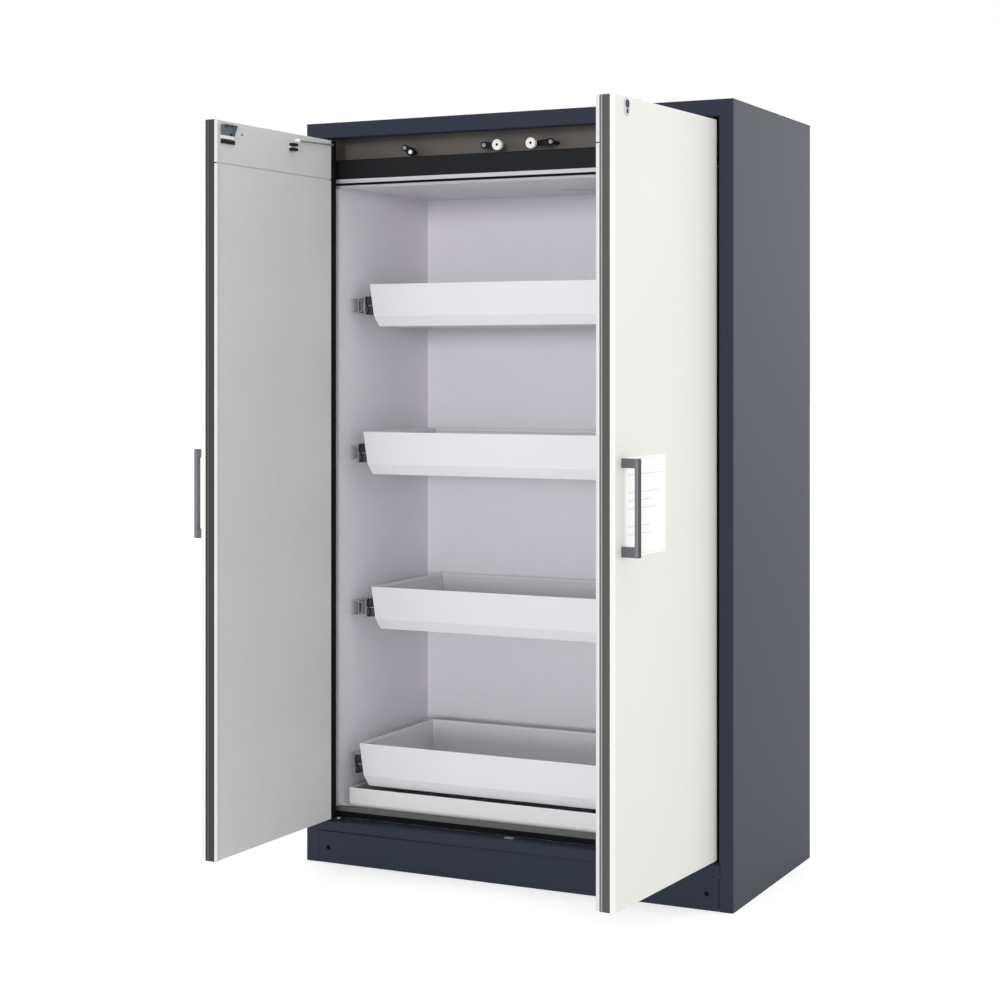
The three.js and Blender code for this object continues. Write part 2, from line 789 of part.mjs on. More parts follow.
export default cabinet;
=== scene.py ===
"""Dresses the frame of a safety storage cabinet with the surfaces and finishes of the real one.

Laid out as an add-on and run as a script. Pieces are drawn in millimetres and become metres in
their meshes: x to the right, y into the cabinet, z up, with the origin on the floor under the
middle of the carcass. Most of what comes in pairs is drawn on the right and mirrored for the
left. Pieces of a door are drawn on the closed door and then turned about its pivot.
"""

import json
import math
from types import SimpleNamespace

import bmesh
import bpy
import numpy as np
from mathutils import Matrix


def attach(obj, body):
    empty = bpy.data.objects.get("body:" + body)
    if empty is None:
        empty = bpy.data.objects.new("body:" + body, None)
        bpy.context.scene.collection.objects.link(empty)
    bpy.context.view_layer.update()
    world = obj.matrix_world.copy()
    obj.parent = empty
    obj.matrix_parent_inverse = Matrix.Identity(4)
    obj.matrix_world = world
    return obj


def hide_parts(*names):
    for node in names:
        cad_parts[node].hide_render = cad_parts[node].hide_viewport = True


bl_info = {
    "name": "Safety Storage Cabinet",
    "version": (1, 0, 0),
    "blender": (4, 5, 0),
    "location": "3D View > Sidebar > Cabinet",
    "description": "Surfaces, finishes and stage of a two-door safety storage cabinet",
    "category": "Object",
}

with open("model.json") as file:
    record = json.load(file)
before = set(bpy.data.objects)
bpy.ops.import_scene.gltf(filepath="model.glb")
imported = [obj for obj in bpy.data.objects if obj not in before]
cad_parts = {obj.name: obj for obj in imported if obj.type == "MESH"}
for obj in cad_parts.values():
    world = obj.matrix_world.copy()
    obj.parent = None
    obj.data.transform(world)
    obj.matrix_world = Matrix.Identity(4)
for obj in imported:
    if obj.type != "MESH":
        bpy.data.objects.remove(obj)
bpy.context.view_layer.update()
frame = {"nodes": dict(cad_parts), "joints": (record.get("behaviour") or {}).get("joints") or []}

# A millimetre in metres, and in millimetres the seam between pieces and the least radius.
MM = 0.001
GAP = 0.3
LEAST = 0.1

SIDES = ("left", "right")
SIGN = {"left": -1, "right": 1}
TRAYS = (1, 2, 3, 4)
AXES = {"x": (1, 2, 0), "y": (0, 2, 1), "z": (0, 1, 2)}

# Degrees between faces from which an edge stays sharp, and from which it is rounded.
SMOOTH_ANGLE = 35
ROUNDED_ANGLE = 40


def shade(red, green, blue):
    """A display colour as Blender's linear one: ((c + 0.055) / 1.055) ** 2.4."""
    return tuple(((part + 0.055) / 1.055) ** 2.4 for part in (red, green, blue))


def length(name, description, millimetres):
    """A size for the panel, which holds it in metres."""
    return bpy.props.FloatProperty(
        name=name, description=description, default=millimetres * MM, unit="LENGTH", precision=5)


def colour(name, description, *parts):
    """A colour for the panel."""
    return bpy.props.FloatVectorProperty(
        name=name, description=description, default=shade(*parts), subtype="COLOR", size=3,
        min=0, max=1)


class CabinetSizes(bpy.types.PropertyGroup):
    """Sizes of the surfaces that the frame leaves open."""

    sheet: length("Sheet", "Thickness of the folded carcass sheet", 2)
    fold: length("Fold", "Inner radius of a fold in the carcass sheet", 1.2)
    edge: length("Edge", "Rounding of the fire cores' edges", 0.5)
    roof_return: length("Roof return", "Depth of the return under the roof's band", 37.5)
    roof_band_top: length("Roof band top", "From the lid's top to the band's end inside it", 0.6)
    skid_wall: length("Skid wall", "Wall of the skids and of the deck", 3)
    skid_corner: length("Skid corner", "Outer corner radius of the skids", 6)
    skid_width: length("Outer skids", "Width of the two outer skids", 54)
    skid_middle: length("Middle skid", "Width of the middle skid", 60)
    plinth_fold: length("Plinth fold", "Rounding of the plinth panel's folds", 1.6)
    plinth_seam: length("Plinth seam", "Height of the seam over the plinth panel", 1.6)
    plinth_reach: length("Plinth reach", "How far the plinth's ends go into the corners", 3.4)
    plinth_drop: length("Plinth drop", "How far the plinth's lower edge goes down", 1.6)
    plinth_tilt: length("Plinth tilt", "Rise or fall of the plinth's upper edge at its ends", 1.2)
    shell_sheet: length("Door sheet", "Thickness of a door's outer shell", 1.5)
    shell_fold: length("Door fold", "Outer fold radius of a door's outer shell", 2.6)
    shell_corner: length("Door corner", "Corner radius of a door's outer shell", 2)
    strip_left: length("Left edge strip", "From the left door's face to its edge strip", 18)
    strip_right: length("Right edge strip", "From the right door's face to its strip", 31)
    strip_width: length("Edge strip width", "Width of the strip in the door's edge", 5)
    strip_depth: length("Edge strip depth", "Depth of the groove for the edge strip", 1.6)
    lining_sheet: length("Lining sheet", "Thickness of the panels on a door's inner face", 4)
    lining_reach: length("Lining reach", "From the doors' middle to the linings' far edge", 517)
    lining_edge: length("Lining edge", "Rounding of the door lining's edge", 1.2)
    edging_width: length("Edging width", "Width of the edging along the lining", 8)
    edging_rise: length("Edging rise", "How far the edging stands over the lining", 3.3)
    edging_wrap: length("Edging wrap", "How far the edging goes round the lining", 5.5)
    lining_groove: length("Lining groove", "Width of the groove across the lining", 3)
    lining_groove_depth: length("Lining groove depth", "Depth of that groove", 2.6)
    lining_groove_drop: length("Lining groove drop", "From the lining's top to the groove", 97)
    handle_grip: length("Handle bar", "Thickness of a handle's bar", 10)
    handle_lift: length("Handle lift", "From the frame's handle end to the bar's end", 1.8)
    handle_foot: length("Handle foot", "Height of a handle's upper foot", 21)
    handle_base: length("Handle base", "Height of a handle's lower foot", 23.5)
    handle_inlay: length("Handle inlay", "Thickness of the inlay on a handle's bar", 1.2)
    handle_round: length("Handle rounding", "Rounding of the handle's long edges", 1.4)
    tray_half: length("Tray half", "Half the width of a tray's pan", 470)
    tray_wall: length("Tray wall", "From a tray's rim down to the fold in its wall", 86)
    tray_sheet: length("Tray sheet", "Wall of a tray", 1.8)
    tray_rim: length("Tray rim", "Thickness of a tray's folded rim", 4.2)
    tray_hem: length("Tray hem", "Height of a tray's folded rim", 9)
    tray_corner: length("Tray corner", "Corner radius of the trays and the sump", 1.2)
    sump_sheet: length("Sump sheet", "Wall of the sump", 2)
    sump_foot: length("Sump foot", "Rounding under the sump's sides", 14)
    seal_rib: length("Seal rib", "Rise of the ribs on the opening's seal", 1.4)
    seal_front: length("Seal front", "How far the ribs stay behind the frame's seal", 3.3)
    seal_side: length("Seal side", "How far the seal stays off the side boards' faces", 10.5)
    seal_top: length("Seal top", "How far the seal stays over the ceiling board", 2.2)
    seal_foot: length("Seal foot", "Height of the seal along the sill", 15)
    trim_height: length("Trim height", "Height of the bright trim over the seal", 8)
    trim_drop: length("Trim drop", "From the apron's lower edge to the trim", 2.6)
    ceiling_lip: length("Ceiling lip", "How far the lip hangs under the ceiling board", 6)
    thread: length("Thread", "Pitch of the threads on the levelling feet", 2.5)


class CabinetColours(bpy.types.PropertyGroup):
    """Colours of the finishes, as they look under plain light. Each bears its finish's name."""

    carcass: colour("Carcass", "Powder coat of the carcass", 0.131, 0.157, 0.214)
    door_face: colour("Door face", "Powder coat of the doors outside", 0.893, 0.893, 0.873)
    door_lining: colour("Door lining", "Coated board inside the doors", 0.823, 0.823, 0.821)
    # Painted light: the core edges and the edge strips are one material on both doors. The left door's
    # colours are darker copies of the right's, painted shade where the left door's edge gets less light.
    left_edge: colour("Left door edge", "Edge of the left fire core", 0.217, 0.217, 0.211)
    left_strip: colour("Left edge strip", "Fire seal strip of the left door", 0.316, 0.316, 0.316)
    right_edge: colour("Right door edge", "Edge of the right fire core", 0.311, 0.311, 0.305)
    right_strip: colour("Right edge strip", "Fire seal strip of the right door", 0.567, 0.567, 0.577)
    boards: colour("Boards", "Coated boards of the inside", 0.915, 0.905, 0.928)
    trays: colour("Trays", "Powder coat of the trays", 0.880, 0.877, 0.894)
    sump: colour("Sump", "Powder coat of the sump", 0.854, 0.854, 0.859)
    rails: colour("Rails", "Zinc on the rails", 0.692, 0.697, 0.713)
    header: colour("Header", "Steel of the header plate", 0.436, 0.417, 0.402)
    trim: colour("Trim", "Bright trim over the opening", 0.744, 0.755, 0.776)
    # Painted light: the bar's coat is a lighter copy of the feet's, a painted highlight. The dark inlay is
    # an inlay on the bar's outer face, and in part a painted reflection there.
    handle: colour("Handle feet", "Powder coat of the handles' feet", 0.353, 0.363, 0.379)
    handle_bar: colour("Handle bar", "Powder coat of the handles' bars", 0.441, 0.452, 0.467)
    inlay: colour("Handle inlay", "Inlay on the handles' bars, and the lock", 0.175, 0.180, 0.191)
    keeper: colour("Keeper", "Steel of the keepers' boxes", 0.420, 0.452, 0.473)
    lip: colour("Ceiling lip", "Edging of the ceiling board", 0.671, 0.666, 0.682)
    # Painted shade: the sill strip is a grey sheet over the floor board's front edge and the floor up to
    # the sump, where they lie in shade.
    sill_strip: colour("Sill strip", "Grey strip over the seal along the sill", 0.379, 0.379, 0.379)
    fitting: colour("Fitting", "Steel of stays, bolts and screws", 0.629, 0.650, 0.671)
    black: colour("Black", "Black plastic of arms, stays, caps and feet", 0.091, 0.097, 0.105)
    rubber: colour("Rubber", "Rubber of the seals and the hinge strips", 0.065, 0.067, 0.071)
    roller: colour("Rollers", "White plastic of rollers and knobs", 0.93, 0.93, 0.92)
    label: colour("Label", "Bare label on the right door", 0.965, 0.965, 0.960)
    rule: colour("Rule", "Faint rules on the label", 0.838, 0.849, 0.859)


def sizes():
    """The sizes of the panel, in millimetres."""
    group = bpy.context.scene.cabinet_sizes
    return SimpleNamespace(**{name: getattr(group, name) / MM for name in CabinetSizes.__annotations__})


def hinge(side):
    """Pivot (x, y) of a door, and its turn at rest about z in radians, from its joint."""
    joint = next(j for j in frame["joints"] if j["name"] == f"{side}_door")
    turn = -math.radians(joint["range_deg"][0]) * joint["axis"][2]
    return np.array(joint["pos_m"][:2]) / MM, turn


def turned(points, side, way=1):
    """Turns points with a door: (x, y) - pivot is multiplied by the turn's rotation matrix."""
    pivot, angle = hinge(side)
    cosine, sine = math.cos(angle), way * math.sin(angle)
    moved = np.array(points, float)
    moved[:, :2] = (moved[:, :2] - pivot) @ np.array([[cosine, sine], [-sine, cosine]]) + pivot
    return moved


def mirrored(surface, side):
    """A surface of the right side as it is on a side: on the left x is reversed, and each face
    goes round the other way."""
    points, faces = surface
    if side == "right":
        return surface
    return points * [-1, 1, 1], [face[::-1] for face in faces]


def corners_of(mesh):
    """The points of a mesh, in millimetres."""
    points = np.empty(len(mesh.vertices) * 3)
    mesh.vertices.foreach_get("co", points)
    return points.reshape(-1, 3) / MM


def extent(node, side="right"):
    """Lowest and highest corner of a node, mirrored if it belongs to the left side."""
    points = corners_of(frame["nodes"][node].data) * [SIGN[side], 1, 1]
    return points.min(0), points.max(0)


def shut(node, side):
    """The same for a node of a door, on the closed door."""
    points = turned(corners_of(frame["nodes"][node].data), side, way=-1) * [SIGN[side], 1, 1]
    return points.min(0), points.max(0)


def inner_half(size):
    """Half the width between the folds of the side panels' bands."""
    return extent("side_panel_right")[0][0] + size.sheet + size.fold


def sill_top():
    """The sill is as high as the foot of the back panel."""
    return extent("back_panel")[0][2]


def laid(flat, along, axis):
    """Flat points (u, v) laid across an axis, at places along it."""
    across, up, way = AXES[axis]
    along = np.asarray(along, float)
    points = np.empty(np.broadcast_shapes(flat.shape[:-1], along.shape) + (3,))
    points[..., across] = flat[..., 0]
    points[..., up] = flat[..., 1]
    points[..., way] = along
    return points


def volume(points, faces):
    """Six times the signed volume: the sum of a . (b x c) over fans of triangles."""
    corners = [(face[0], face[i], face[i + 1]) for face in faces for i in range(1, len(face) - 1)]
    a, b, c = points[np.array(corners).T]
    return np.einsum("ij,ij->", a, np.cross(b, c))


def skin(grid, closed=False):
    """Faces between the rows of a grid, each row a closed loop. The end rows get one face each,
    or join each other if the grid is closed too. The faces point outwards."""
    rows, columns = grid.shape[:2]
    index = np.arange(rows * columns).reshape(rows, columns)
    here = index if closed else index[:-1]
    above = np.roll(index, -1, 0) if closed else index[1:]
    quads = np.stack([here, np.roll(here, -1, 1), np.roll(above, -1, 1), above], -1)
    faces = quads.reshape(-1, 4).tolist()
    if not closed:
        faces += [index[0][::-1].tolist(), index[-1].tolist()]
    points = grid.reshape(-1, 3)
    if volume(points - points.mean(0), faces) < 0:
        faces = [face[::-1] for face in faces]
    return points, faces


def joined(*surfaces):
    """Several closed surfaces as one piece."""
    points, faces, start = [], [], 0
    for some, their_faces in surfaces:
        points.append(some)
        faces += [[corner + start for corner in face] for face in their_faces]
        start += len(some)
    return np.concatenate(points), faces


def unit(vectors):
    """Vectors divided by their lengths."""
    return vectors / np.linalg.norm(vectors, axis=-1, keepdims=True)


def circle(sides):
    """Points (cos t, sin t) at even steps of t."""
    turn = np.linspace(0, 2 * math.pi, sides, endpoint=False)
    return np.stack([np.cos(turn), np.sin(turn)], -1)


def rounded(corners, radii, steps=4):
    """An outline with its corners turned into arcs. Where two edges meet at the angle 2h, the arc
    of radius r starts r / tan h before the corner, and its centre is r / sin h from the corner,
    on the line that halves the angle. Its points are blended by the sines of their turns."""
    radii = np.broadcast_to(radii, len(corners))[:, None]
    before = unit(np.roll(corners, 1, 0) - corners)
    after = unit(np.roll(corners, -1, 0) - corners)
    half = np.arccos(np.clip((before * after).sum(-1, keepdims=True), -1, 1)) / 2
    centre = corners + unit(before + after) * radii / np.sin(half)
    start = corners + before * radii / np.tan(half) - centre
    end = corners + after * radii / np.tan(half) - centre
    turn = math.pi - 2 * half
    share = np.linspace(0, 1, steps + 1)[:, None, None]
    arcs = (np.sin((1 - share) * turn) * start + np.sin(share * turn) * end) / np.sin(turn)
    return (centre + arcs).transpose(1, 0, 2).reshape(-1, 2)


def folded(corners, thickness, fold):
    """The outline of a folded sheet: along its corners and back along the same corners moved to
    the left by the thickness, with the fold radius inside each bend and fold + thickness outside."""
    corners = np.array(corners, float)
    way = unit(np.diff(corners, axis=0))
    left = np.stack([-way[:, 1], way[:, 0]], -1)
    before, after = left[np.r_[0, :len(left)]], left[np.r_[:len(left), len(left) - 1]]
    mitre = (before + after) / (1 + (before * after).sum(-1, keepdims=True))
    moved = corners + mitre * thickness
    bend = way[:-1, 0] * way[1:, 1] - way[:-1, 1] * way[1:, 0]
    outside = bend * np.sign(thickness) > 0
    wall, tip = abs(thickness), [abs(thickness) / 5]
    near = np.r_[tip, np.where(outside, fold + wall, fold), tip]
    far = np.r_[tip, np.where(outside, fold, fold + wall), tip]
    return rounded(np.concatenate([corners, moved[::-1]]), np.concatenate([near, far[::-1]]))


def extruded(outline, low, high, axis):
    """An outline carried straight along an axis."""
    return skin(laid(outline[None], [[low], [high]], axis))


def loops(low, high, insets, radius, steps=4):
    """Rounded rectangles, one a row, smaller than low to high by that row's insets: a quarter
    circle of radius r about each point (+-(a - r), +-(b - r)), with a and b the half sizes."""
    centre, half = (high + low) / 2, (high - low) / 2 - insets
    radius = np.maximum(radius, LEAST) * np.ones((len(insets), 1, 1))
    turn = np.linspace(0, math.pi / 2, steps + 1)
    angle = (np.arange(4)[:, None] * math.pi / 2 + turn).reshape(-1, 1)
    sign = np.repeat([[1, 1], [-1, 1], [-1, -1], [1, -1]], steps + 1, 0)
    quarters = np.concatenate([np.cos(angle), np.sin(angle)], -1)
    return centre + sign * (half[:, None] - radius) + radius * quarters


def carried(low, high, corner, rows, axis="z", closed=False, even=False):
    """A rounded rectangle carried along an axis by rows of (inset across, inset up, place). Its
    corner radius shrinks with the inset, unless it is even."""
    rows = np.asarray(rows, float)
    across, up, _ = AXES[axis]
    radius = np.full(len(rows), corner) if even else corner - rows[:, :2].min(-1)
    flat = loops(low[[across, up]], high[[across, up]], rows[:, :2], radius[:, None, None])
    return skin(laid(flat, rows[:, 2:3], axis), closed)


def arc(inset, place, radius, start, end, steps=3):
    """Rows of (inset, inset, place) on an arc, between two angles in degrees."""
    turn = np.radians(np.linspace(start, end, steps + 1))
    across = inset + radius * np.cos(turn)
    return np.stack([across, across, place + radius * np.sin(turn)], -1)


def block(low, high, axis="z", corner=1.0, edge=0.5):
    """A box with rounded edges: a rounded rectangle carried along an axis, in by a quarter
    circle at either end."""
    low, high = np.minimum(low, high), np.maximum(low, high)
    way = AXES[axis][2]
    rows = [arc(edge, low[way] + edge, edge, 270, 180), arc(edge, high[way] - edge, edge, 180, 90)]
    return carried(low, high, corner, np.concatenate(rows), axis)


def spun(profile, centre, axis="z", sides=40, closed=False):
    """A profile of (radius, place) rows turned about an axis: (r cos t, r sin t) at each place.
    A closed profile makes a ring."""
    profile = np.asarray(profile, float)
    across, up, way = AXES[axis]
    radius = np.maximum(profile[:, :1, None], LEAST)
    flat = radius * circle(sides) + np.array([centre[across], centre[up]])
    return skin(laid(flat, centre[way] + profile[:, 1:2], axis), closed)


def disc(radius, low, high, edge=0.6):
    """Profile rows of a round plate with rounded rims, from low to high."""
    turn = np.radians(np.linspace(0, 90, 4))
    out = radius - edge + edge * np.sin(turn)
    rise = edge - edge * np.cos(turn)
    rims = [np.stack([out, low + rise], -1), np.stack([out, high - rise], -1)[::-1]]
    return np.concatenate([[[0, low]], *rims, [[0, high]]])


def swept(section, path, up):
    """A section (side, rise) carried along a flat path: side goes to the right of the way, over
    the cosine of half the bend, and rise goes along up."""
    step = unit(np.diff(path, axis=0))
    ahead, behind = np.concatenate([step, step[-1:]]), np.concatenate([step[:1], step])
    way = unit(ahead + behind)
    side = np.cross(way, up) / (way * ahead).sum(-1, keepdims=True)
    return skin(path[:, None] + section[:, :1] * side[:, None] + section[:, 1:] * np.array(up))


def link(eye, eye_radius, tip, tip_radius, steps=12):
    """The outline round two circles: an arc about each, between the two tangents they share."""
    eye, tip = np.asarray(eye), np.asarray(tip)
    along = math.atan2(*(tip - eye)[::-1])
    spread = math.acos((eye_radius - tip_radius) / np.linalg.norm(tip - eye))
    round_eye = along + np.linspace(spread, 2 * math.pi - spread, 2 * steps)
    round_tip = along + np.linspace(-spread, spread, steps)
    return np.concatenate([
        eye + eye_radius * np.stack([np.cos(round_eye), np.sin(round_eye)], -1),
        tip + tip_radius * np.stack([np.cos(round_tip), np.sin(round_tip)], -1),
    ])


def dressed(name, body, slot, finish, surface, *replaced):
    """A piece of the cabinet from its points and faces, riding on a body and in its finish."""
    points, faces = surface
    mesh = bpy.data.meshes.new(name)
    mesh.from_pydata((points * MM).tolist(), [], faces)
    return settled(name, body, finish, mesh, replaced)


def opened(surface, side):
    """A surface drawn on the closed right door, on the door of a side as it stands at rest."""
    points, faces = mirrored(surface, side)
    return turned(points, side), faces


def hung(name, side, slot, finish, surface, *replaced):
    """A piece of a door, drawn on the closed right door. The names go without their side."""
    nodes = [f"{node}_{side}" for node in replaced]
    dressed(f"{name}_{side}", f"door_{side}", slot, finish, opened(surface, side), *nodes)


def settled(name, body, finish, mesh, replaced, bevel=0):
    """Gives a mesh its finish, its rounded edges and normals, and its place in the frame."""
    mesh.materials.append(finish_of(finish))
    mesh.validate()
    mesh.shade_smooth()
    mesh.set_sharp_from_angle(angle=math.radians(SMOOTH_ANGLE))
    piece = bpy.data.objects.new(name, mesh)
    bpy.context.scene.collection.objects.link(piece)
    if bevel:
        rounding = piece.modifiers.new("Rounded edges", "BEVEL")
        rounding.width = bevel * MM
        rounding.segments = 2
        rounding.limit_method = "ANGLE"
        rounding.angle_limit = math.radians(ROUNDED_ANGLE)
        rounding.harden_normals = False
    normals = piece.modifiers.new("Even normals", "WEIGHTED_NORMAL")
    normals.keep_sharp = not bevel
    normals.weight = 60
    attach(piece, body)
    if replaced:
        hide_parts(*replaced)
    return piece


def softened(name, body, finish, node, bevel):
    """A copy of a node with its triangles merged into flat faces and its edges rounded."""
    mesh = frame["nodes"][node].data.copy()
    mesh.name = name
    mesh.materials.clear()
    shape = bmesh.new()
    shape.from_mesh(mesh)
    bmesh.ops.remove_doubles(shape, verts=shape.verts, dist=LEAST / 10 * MM)
    bmesh.ops.dissolve_limit(shape, angle_limit=math.radians(1), verts=shape.verts, edges=shape.edges)
    shape.to_mesh(mesh)
    shape.free()
    return settled(name, body, finish, mesh, (node,), bevel)


def coated(node, finish):
    """Gives a node that keeps its own shape a better finish."""
    for place in frame["nodes"][node].material_slots:
        place.material = finish_of(finish)


def put(node, values):
    """Sets inputs of a shader node."""
    for place, value in values.items():
        node.inputs[place].default_value = value


def wired(tree, kind, output, values, sources, **settings):
    """A new shader node with its settings, values and sources put in. Gives one output of it."""
    node = tree.nodes.new(kind)
    for name, setting in settings.items():
        setattr(node, name, setting)
    put(node, values)
    for place, source in sources.items():
        tree.links.new(source, node.inputs[place])
    return node.outputs[output]


class Finish:
    """A node material on object coordinates, with a cloud in its colour and a grain in its relief.
    The sizes of its patterns are in millimetres."""

    def __init__(self, name, tint, roughness, metallic=0.0):
        self.material = bpy.data.materials.new(name)
        self.material.use_nodes = True
        self.material.diffuse_color = (*tint, 1)
        self.tree = self.material.node_tree
        self.shader = self.tree.nodes["Principled BSDF"]
        self.tint, self.roughness = tint, roughness
        put(self.shader, {"Base Color": (*tint, 1), "Roughness": roughness, "Metallic": metallic})
        self.place = self.tree.nodes.new("ShaderNodeTexCoord").outputs["Object"]

    def noise(self, size, detail=2.0, stretch=(1, 1, 1)):
        """A noise whose spots have about this size, drawn out where the stretch is below 1."""
        place = wired(self.tree, "ShaderNodeMapping", "Vector", {"Scale": stretch},
                      {"Vector": self.place})
        return wired(self.tree, "ShaderNodeTexNoise", "Fac",
                     {"Scale": 1 / (size * MM), "Detail": detail}, {"Vector": place})

    def cells(self, size):
        """Flat random cells of about this size."""
        tints = wired(self.tree, "ShaderNodeTexVoronoi", "Color", {"Scale": 1 / (size * MM)},
                      {"Vector": self.place})
        return wired(self.tree, "ShaderNodeRGBToBW", "Val", {}, {"Color": tints})

    def fed(self, place, *wiring, **settings):
        """Feeds one input of the surface from a new shader node."""
        self.tree.links.new(wired(self.tree, *wiring, **settings), self.shader.inputs[place])
        return self

    def clouded(self, pattern, amount):
        """The colour goes from darker to lighter by the amount, with the pattern."""
        dark, light = [(*[min(part * (1 + way * amount), 1) for part in self.tint], 1) for way in (-1, 1)]
        return self.fed("Base Color", "ShaderNodeMix", "Result", {"A": dark, "B": light},
                        {"Factor": pattern}, data_type="RGBA")

    def dulled(self, pattern, amount):
        """The roughness goes up and down by the amount, with the pattern."""
        ends = {"To Min": self.roughness - amount, "To Max": self.roughness + amount}
        return self.fed("Roughness", "ShaderNodeMapRange", "Result", ends, {"Value": pattern})

    def raised(self, pattern, height, strength):
        """The surface rises by about this height with the pattern."""
        return self.fed("Normal", "ShaderNodeBump", "Normal",
                        {"Distance": height * MM, "Strength": strength}, {"Height": pattern})

    def gloss(self, level):
        """Sets how strongly the surface mirrors."""
        put(self.shader, {"Specular IOR Level": level})
        return self


def powder_coat(name, tint, roughness, gloss, grain=1.1, relief=0.05):
    """Powder coat: the fine orange peel of baked powder, with a faint drift in shade and gloss."""
    finish = Finish(name, tint, roughness)
    peel = finish.noise(grain, detail=3)
    finish.clouded(finish.noise(250, detail=4), 0.025)
    return finish.dulled(peel, 0.06).raised(peel, relief, 0.5).gloss(gloss).material


def coated_board(name, tint, roughness):
    """Melamine-coated board: a smooth, slightly mottled face with a fine press texture."""
    finish = Finish(name, tint, roughness)
    finish.clouded(finish.noise(60, detail=6), 0.03)
    press = finish.noise(2.2)
    return finish.dulled(press, 0.05).raised(press, 0.04, 0.4).gloss(0.4).material


def zinc(name, tint):
    """Galvanised steel: faint crystals in tone and fine rolling lines along the sheet."""
    finish = Finish(name, tint, 0.42, metallic=0.75)
    finish.clouded(finish.cells(9), 0.06)
    rolling = finish.noise(0.7, stretch=(1, 0.02, 1))
    return finish.dulled(rolling, 0.09).raised(rolling, 0.02, 0.4).material


def brushed(name, tint, roughness, stretch, metallic=0.85):
    """Brushed steel: scratches drawn out along one way."""
    finish = Finish(name, tint, roughness, metallic)
    finish.clouded(finish.noise(50, detail=5), 0.05)
    lines = finish.noise(0.5, detail=3, stretch=stretch)
    return finish.dulled(lines, 0.1).raised(lines, 0.015, 0.5).material


def moulded(name, tint, roughness, gloss=0.35):
    """Moulded plastic: an even spark-eroded grain."""
    finish = Finish(name, tint, roughness)
    grain = finish.noise(0.6)
    finish.clouded(finish.noise(30, detail=3), 0.04)
    return finish.dulled(grain, 0.05).raised(grain, 0.03, 0.4).gloss(gloss).material


def core_edge(name, tint):
    """Edge of the fire core: a dark strip with long streaks up and down."""
    finish = Finish(name, tint, 0.7)
    streaks = finish.noise(1.6, detail=4, stretch=(1, 1, 0.01))
    finish.clouded(streaks, 0.22)
    return finish.dulled(streaks, 0.08).raised(streaks, 0.05, 0.5).gloss(0.25).material


def printed(name, tint):
    """Label film: a smooth satin face with a trace of dust under it."""
    finish = Finish(name, tint, 0.35)
    finish.clouded(finish.noise(20, detail=3), 0.012)
    film = finish.noise(1.5)
    return finish.dulled(film, 0.04).raised(film, 0.01, 0.3).gloss(0.5).material


# Each finish has its maker, the name of its material and what else the maker asks for.
FINISHES = {
    "carcass": (powder_coat, "carcass_paint", 0.5, 0.22),
    "door_face": (powder_coat, "door_paint", 0.45, 0.25, 1.6, 0.03),
    "door_lining": (coated_board, "door_lining", 0.5),
    # The left and right door edges and strips are lit and shaded copies of one material: painted light.
    "left_edge": (core_edge, "left_core_edge"),
    "left_strip": (moulded, "left_edge_strip", 0.6),
    "right_edge": (core_edge, "right_core_edge"),
    "right_strip": (moulded, "right_edge_strip", 0.6),
    "boards": (coated_board, "interior_board", 0.42),
    "trays": (powder_coat, "tray_paint", 0.4, 0.45),
    "rails": (zinc, "rail_steel"),
    "sump": (powder_coat, "sump_paint", 0.42, 0.4),
    "header": (brushed, "header_steel", 0.5, (0.02, 1, 1), 0.25),
    "trim": (brushed, "bright_trim", 0.42, (0.02, 1, 1), 0.25),
    # The handle bar's finish is a lighter copy of the feet's: painted highlight.
    "handle": (powder_coat, "handle_paint", 0.4, 0.3, 0.8, 0.03),
    "handle_bar": (powder_coat, "handle_bar", 0.38, 0.3, 0.8, 0.03),
    "inlay": (moulded, "handle_inlay", 0.45, 0.25),
    "keeper": (brushed, "keeper_steel", 0.45, (1, 1, 0.05), 0.3),
    "lip": (moulded, "ceiling_lip", 0.5, 0.2),
    # Painted shade: the finish of the sill strip.
    "sill_strip": (moulded, "sill_strip", 0.7, 0.1),
    "fitting": (brushed, "fitting_steel", 0.35, (1, 1, 0.05)),
    "black": (moulded, "black_plastic", 0.5, 0.14),
    "rubber": (moulded, "seal_rubber", 0.75, 0.08),
    "roller": (moulded, "roller_plastic", 0.35, 0.5),
    "label": (printed, "label_film"),
    "rule": (printed, "label_rule"),
}
made = {}


def finish_of(key):
    """A finish in its colour, made when it is first asked for."""
    if key not in made:
        maker, name, *looks = FINISHES[key]
        made[key] = maker(name, getattr(bpy.context.scene.cabinet_colours, key), *looks)
    return made[key]


class CABINET_OT_carcass(bpy.types.Operator):
    """Side panels and roof: folded sheet with round bends, and the flat back"""

    bl_idname = "cabinet.carcass"
    bl_label = "Carcass Sheets"

    def execute(self, context):
        size = sizes()
        for side in SIDES:
            self.side_panel(side, size)
        self.roof(size)
        coated("back_panel", "carcass")
        return {"FINISHED"}

    def side_panel(self, side, size):
        """One folded sheet: the return behind the front band, the band, the side, the flange."""
        low, high = extent(f"side_panel_{side}", side)
        return_back = extent(f"board_{side}")[0][1] - GAP
        flange = extent("back_panel")[1][0] + GAP
        outline = folded([[low[0], return_back], low[:2], [high[0], low[1]], high[:2],
                          [flange, high[1]]], size.sheet, size.fold)
        panel = mirrored(extruded(outline, low[2], high[2], "z"), side)
        dressed(f"carcass_side_{side}", "cabinet", "carcass_paint", "carcass", panel,
                f"side_panel_{side}")

    def roof(self, size):
        """A flat lid, and under its front edge a band folded back into a return."""
        low, high = extent("roof_panel")
        half = inner_half(size)
        lid = block([low[0], low[1], high[2] - size.sheet], high, corner=1.5, edge=0.8)
        band = folded([[low[1] + size.roof_return, low[2]], low[1:],
                       [low[1], high[2] - size.roof_band_top]], -size.sheet, size.fold)
        dressed("carcass_roof", "cabinet", "carcass_paint", "carcass",
                joined(lid, extruded(band, -half, half, "x")), "roof_panel")


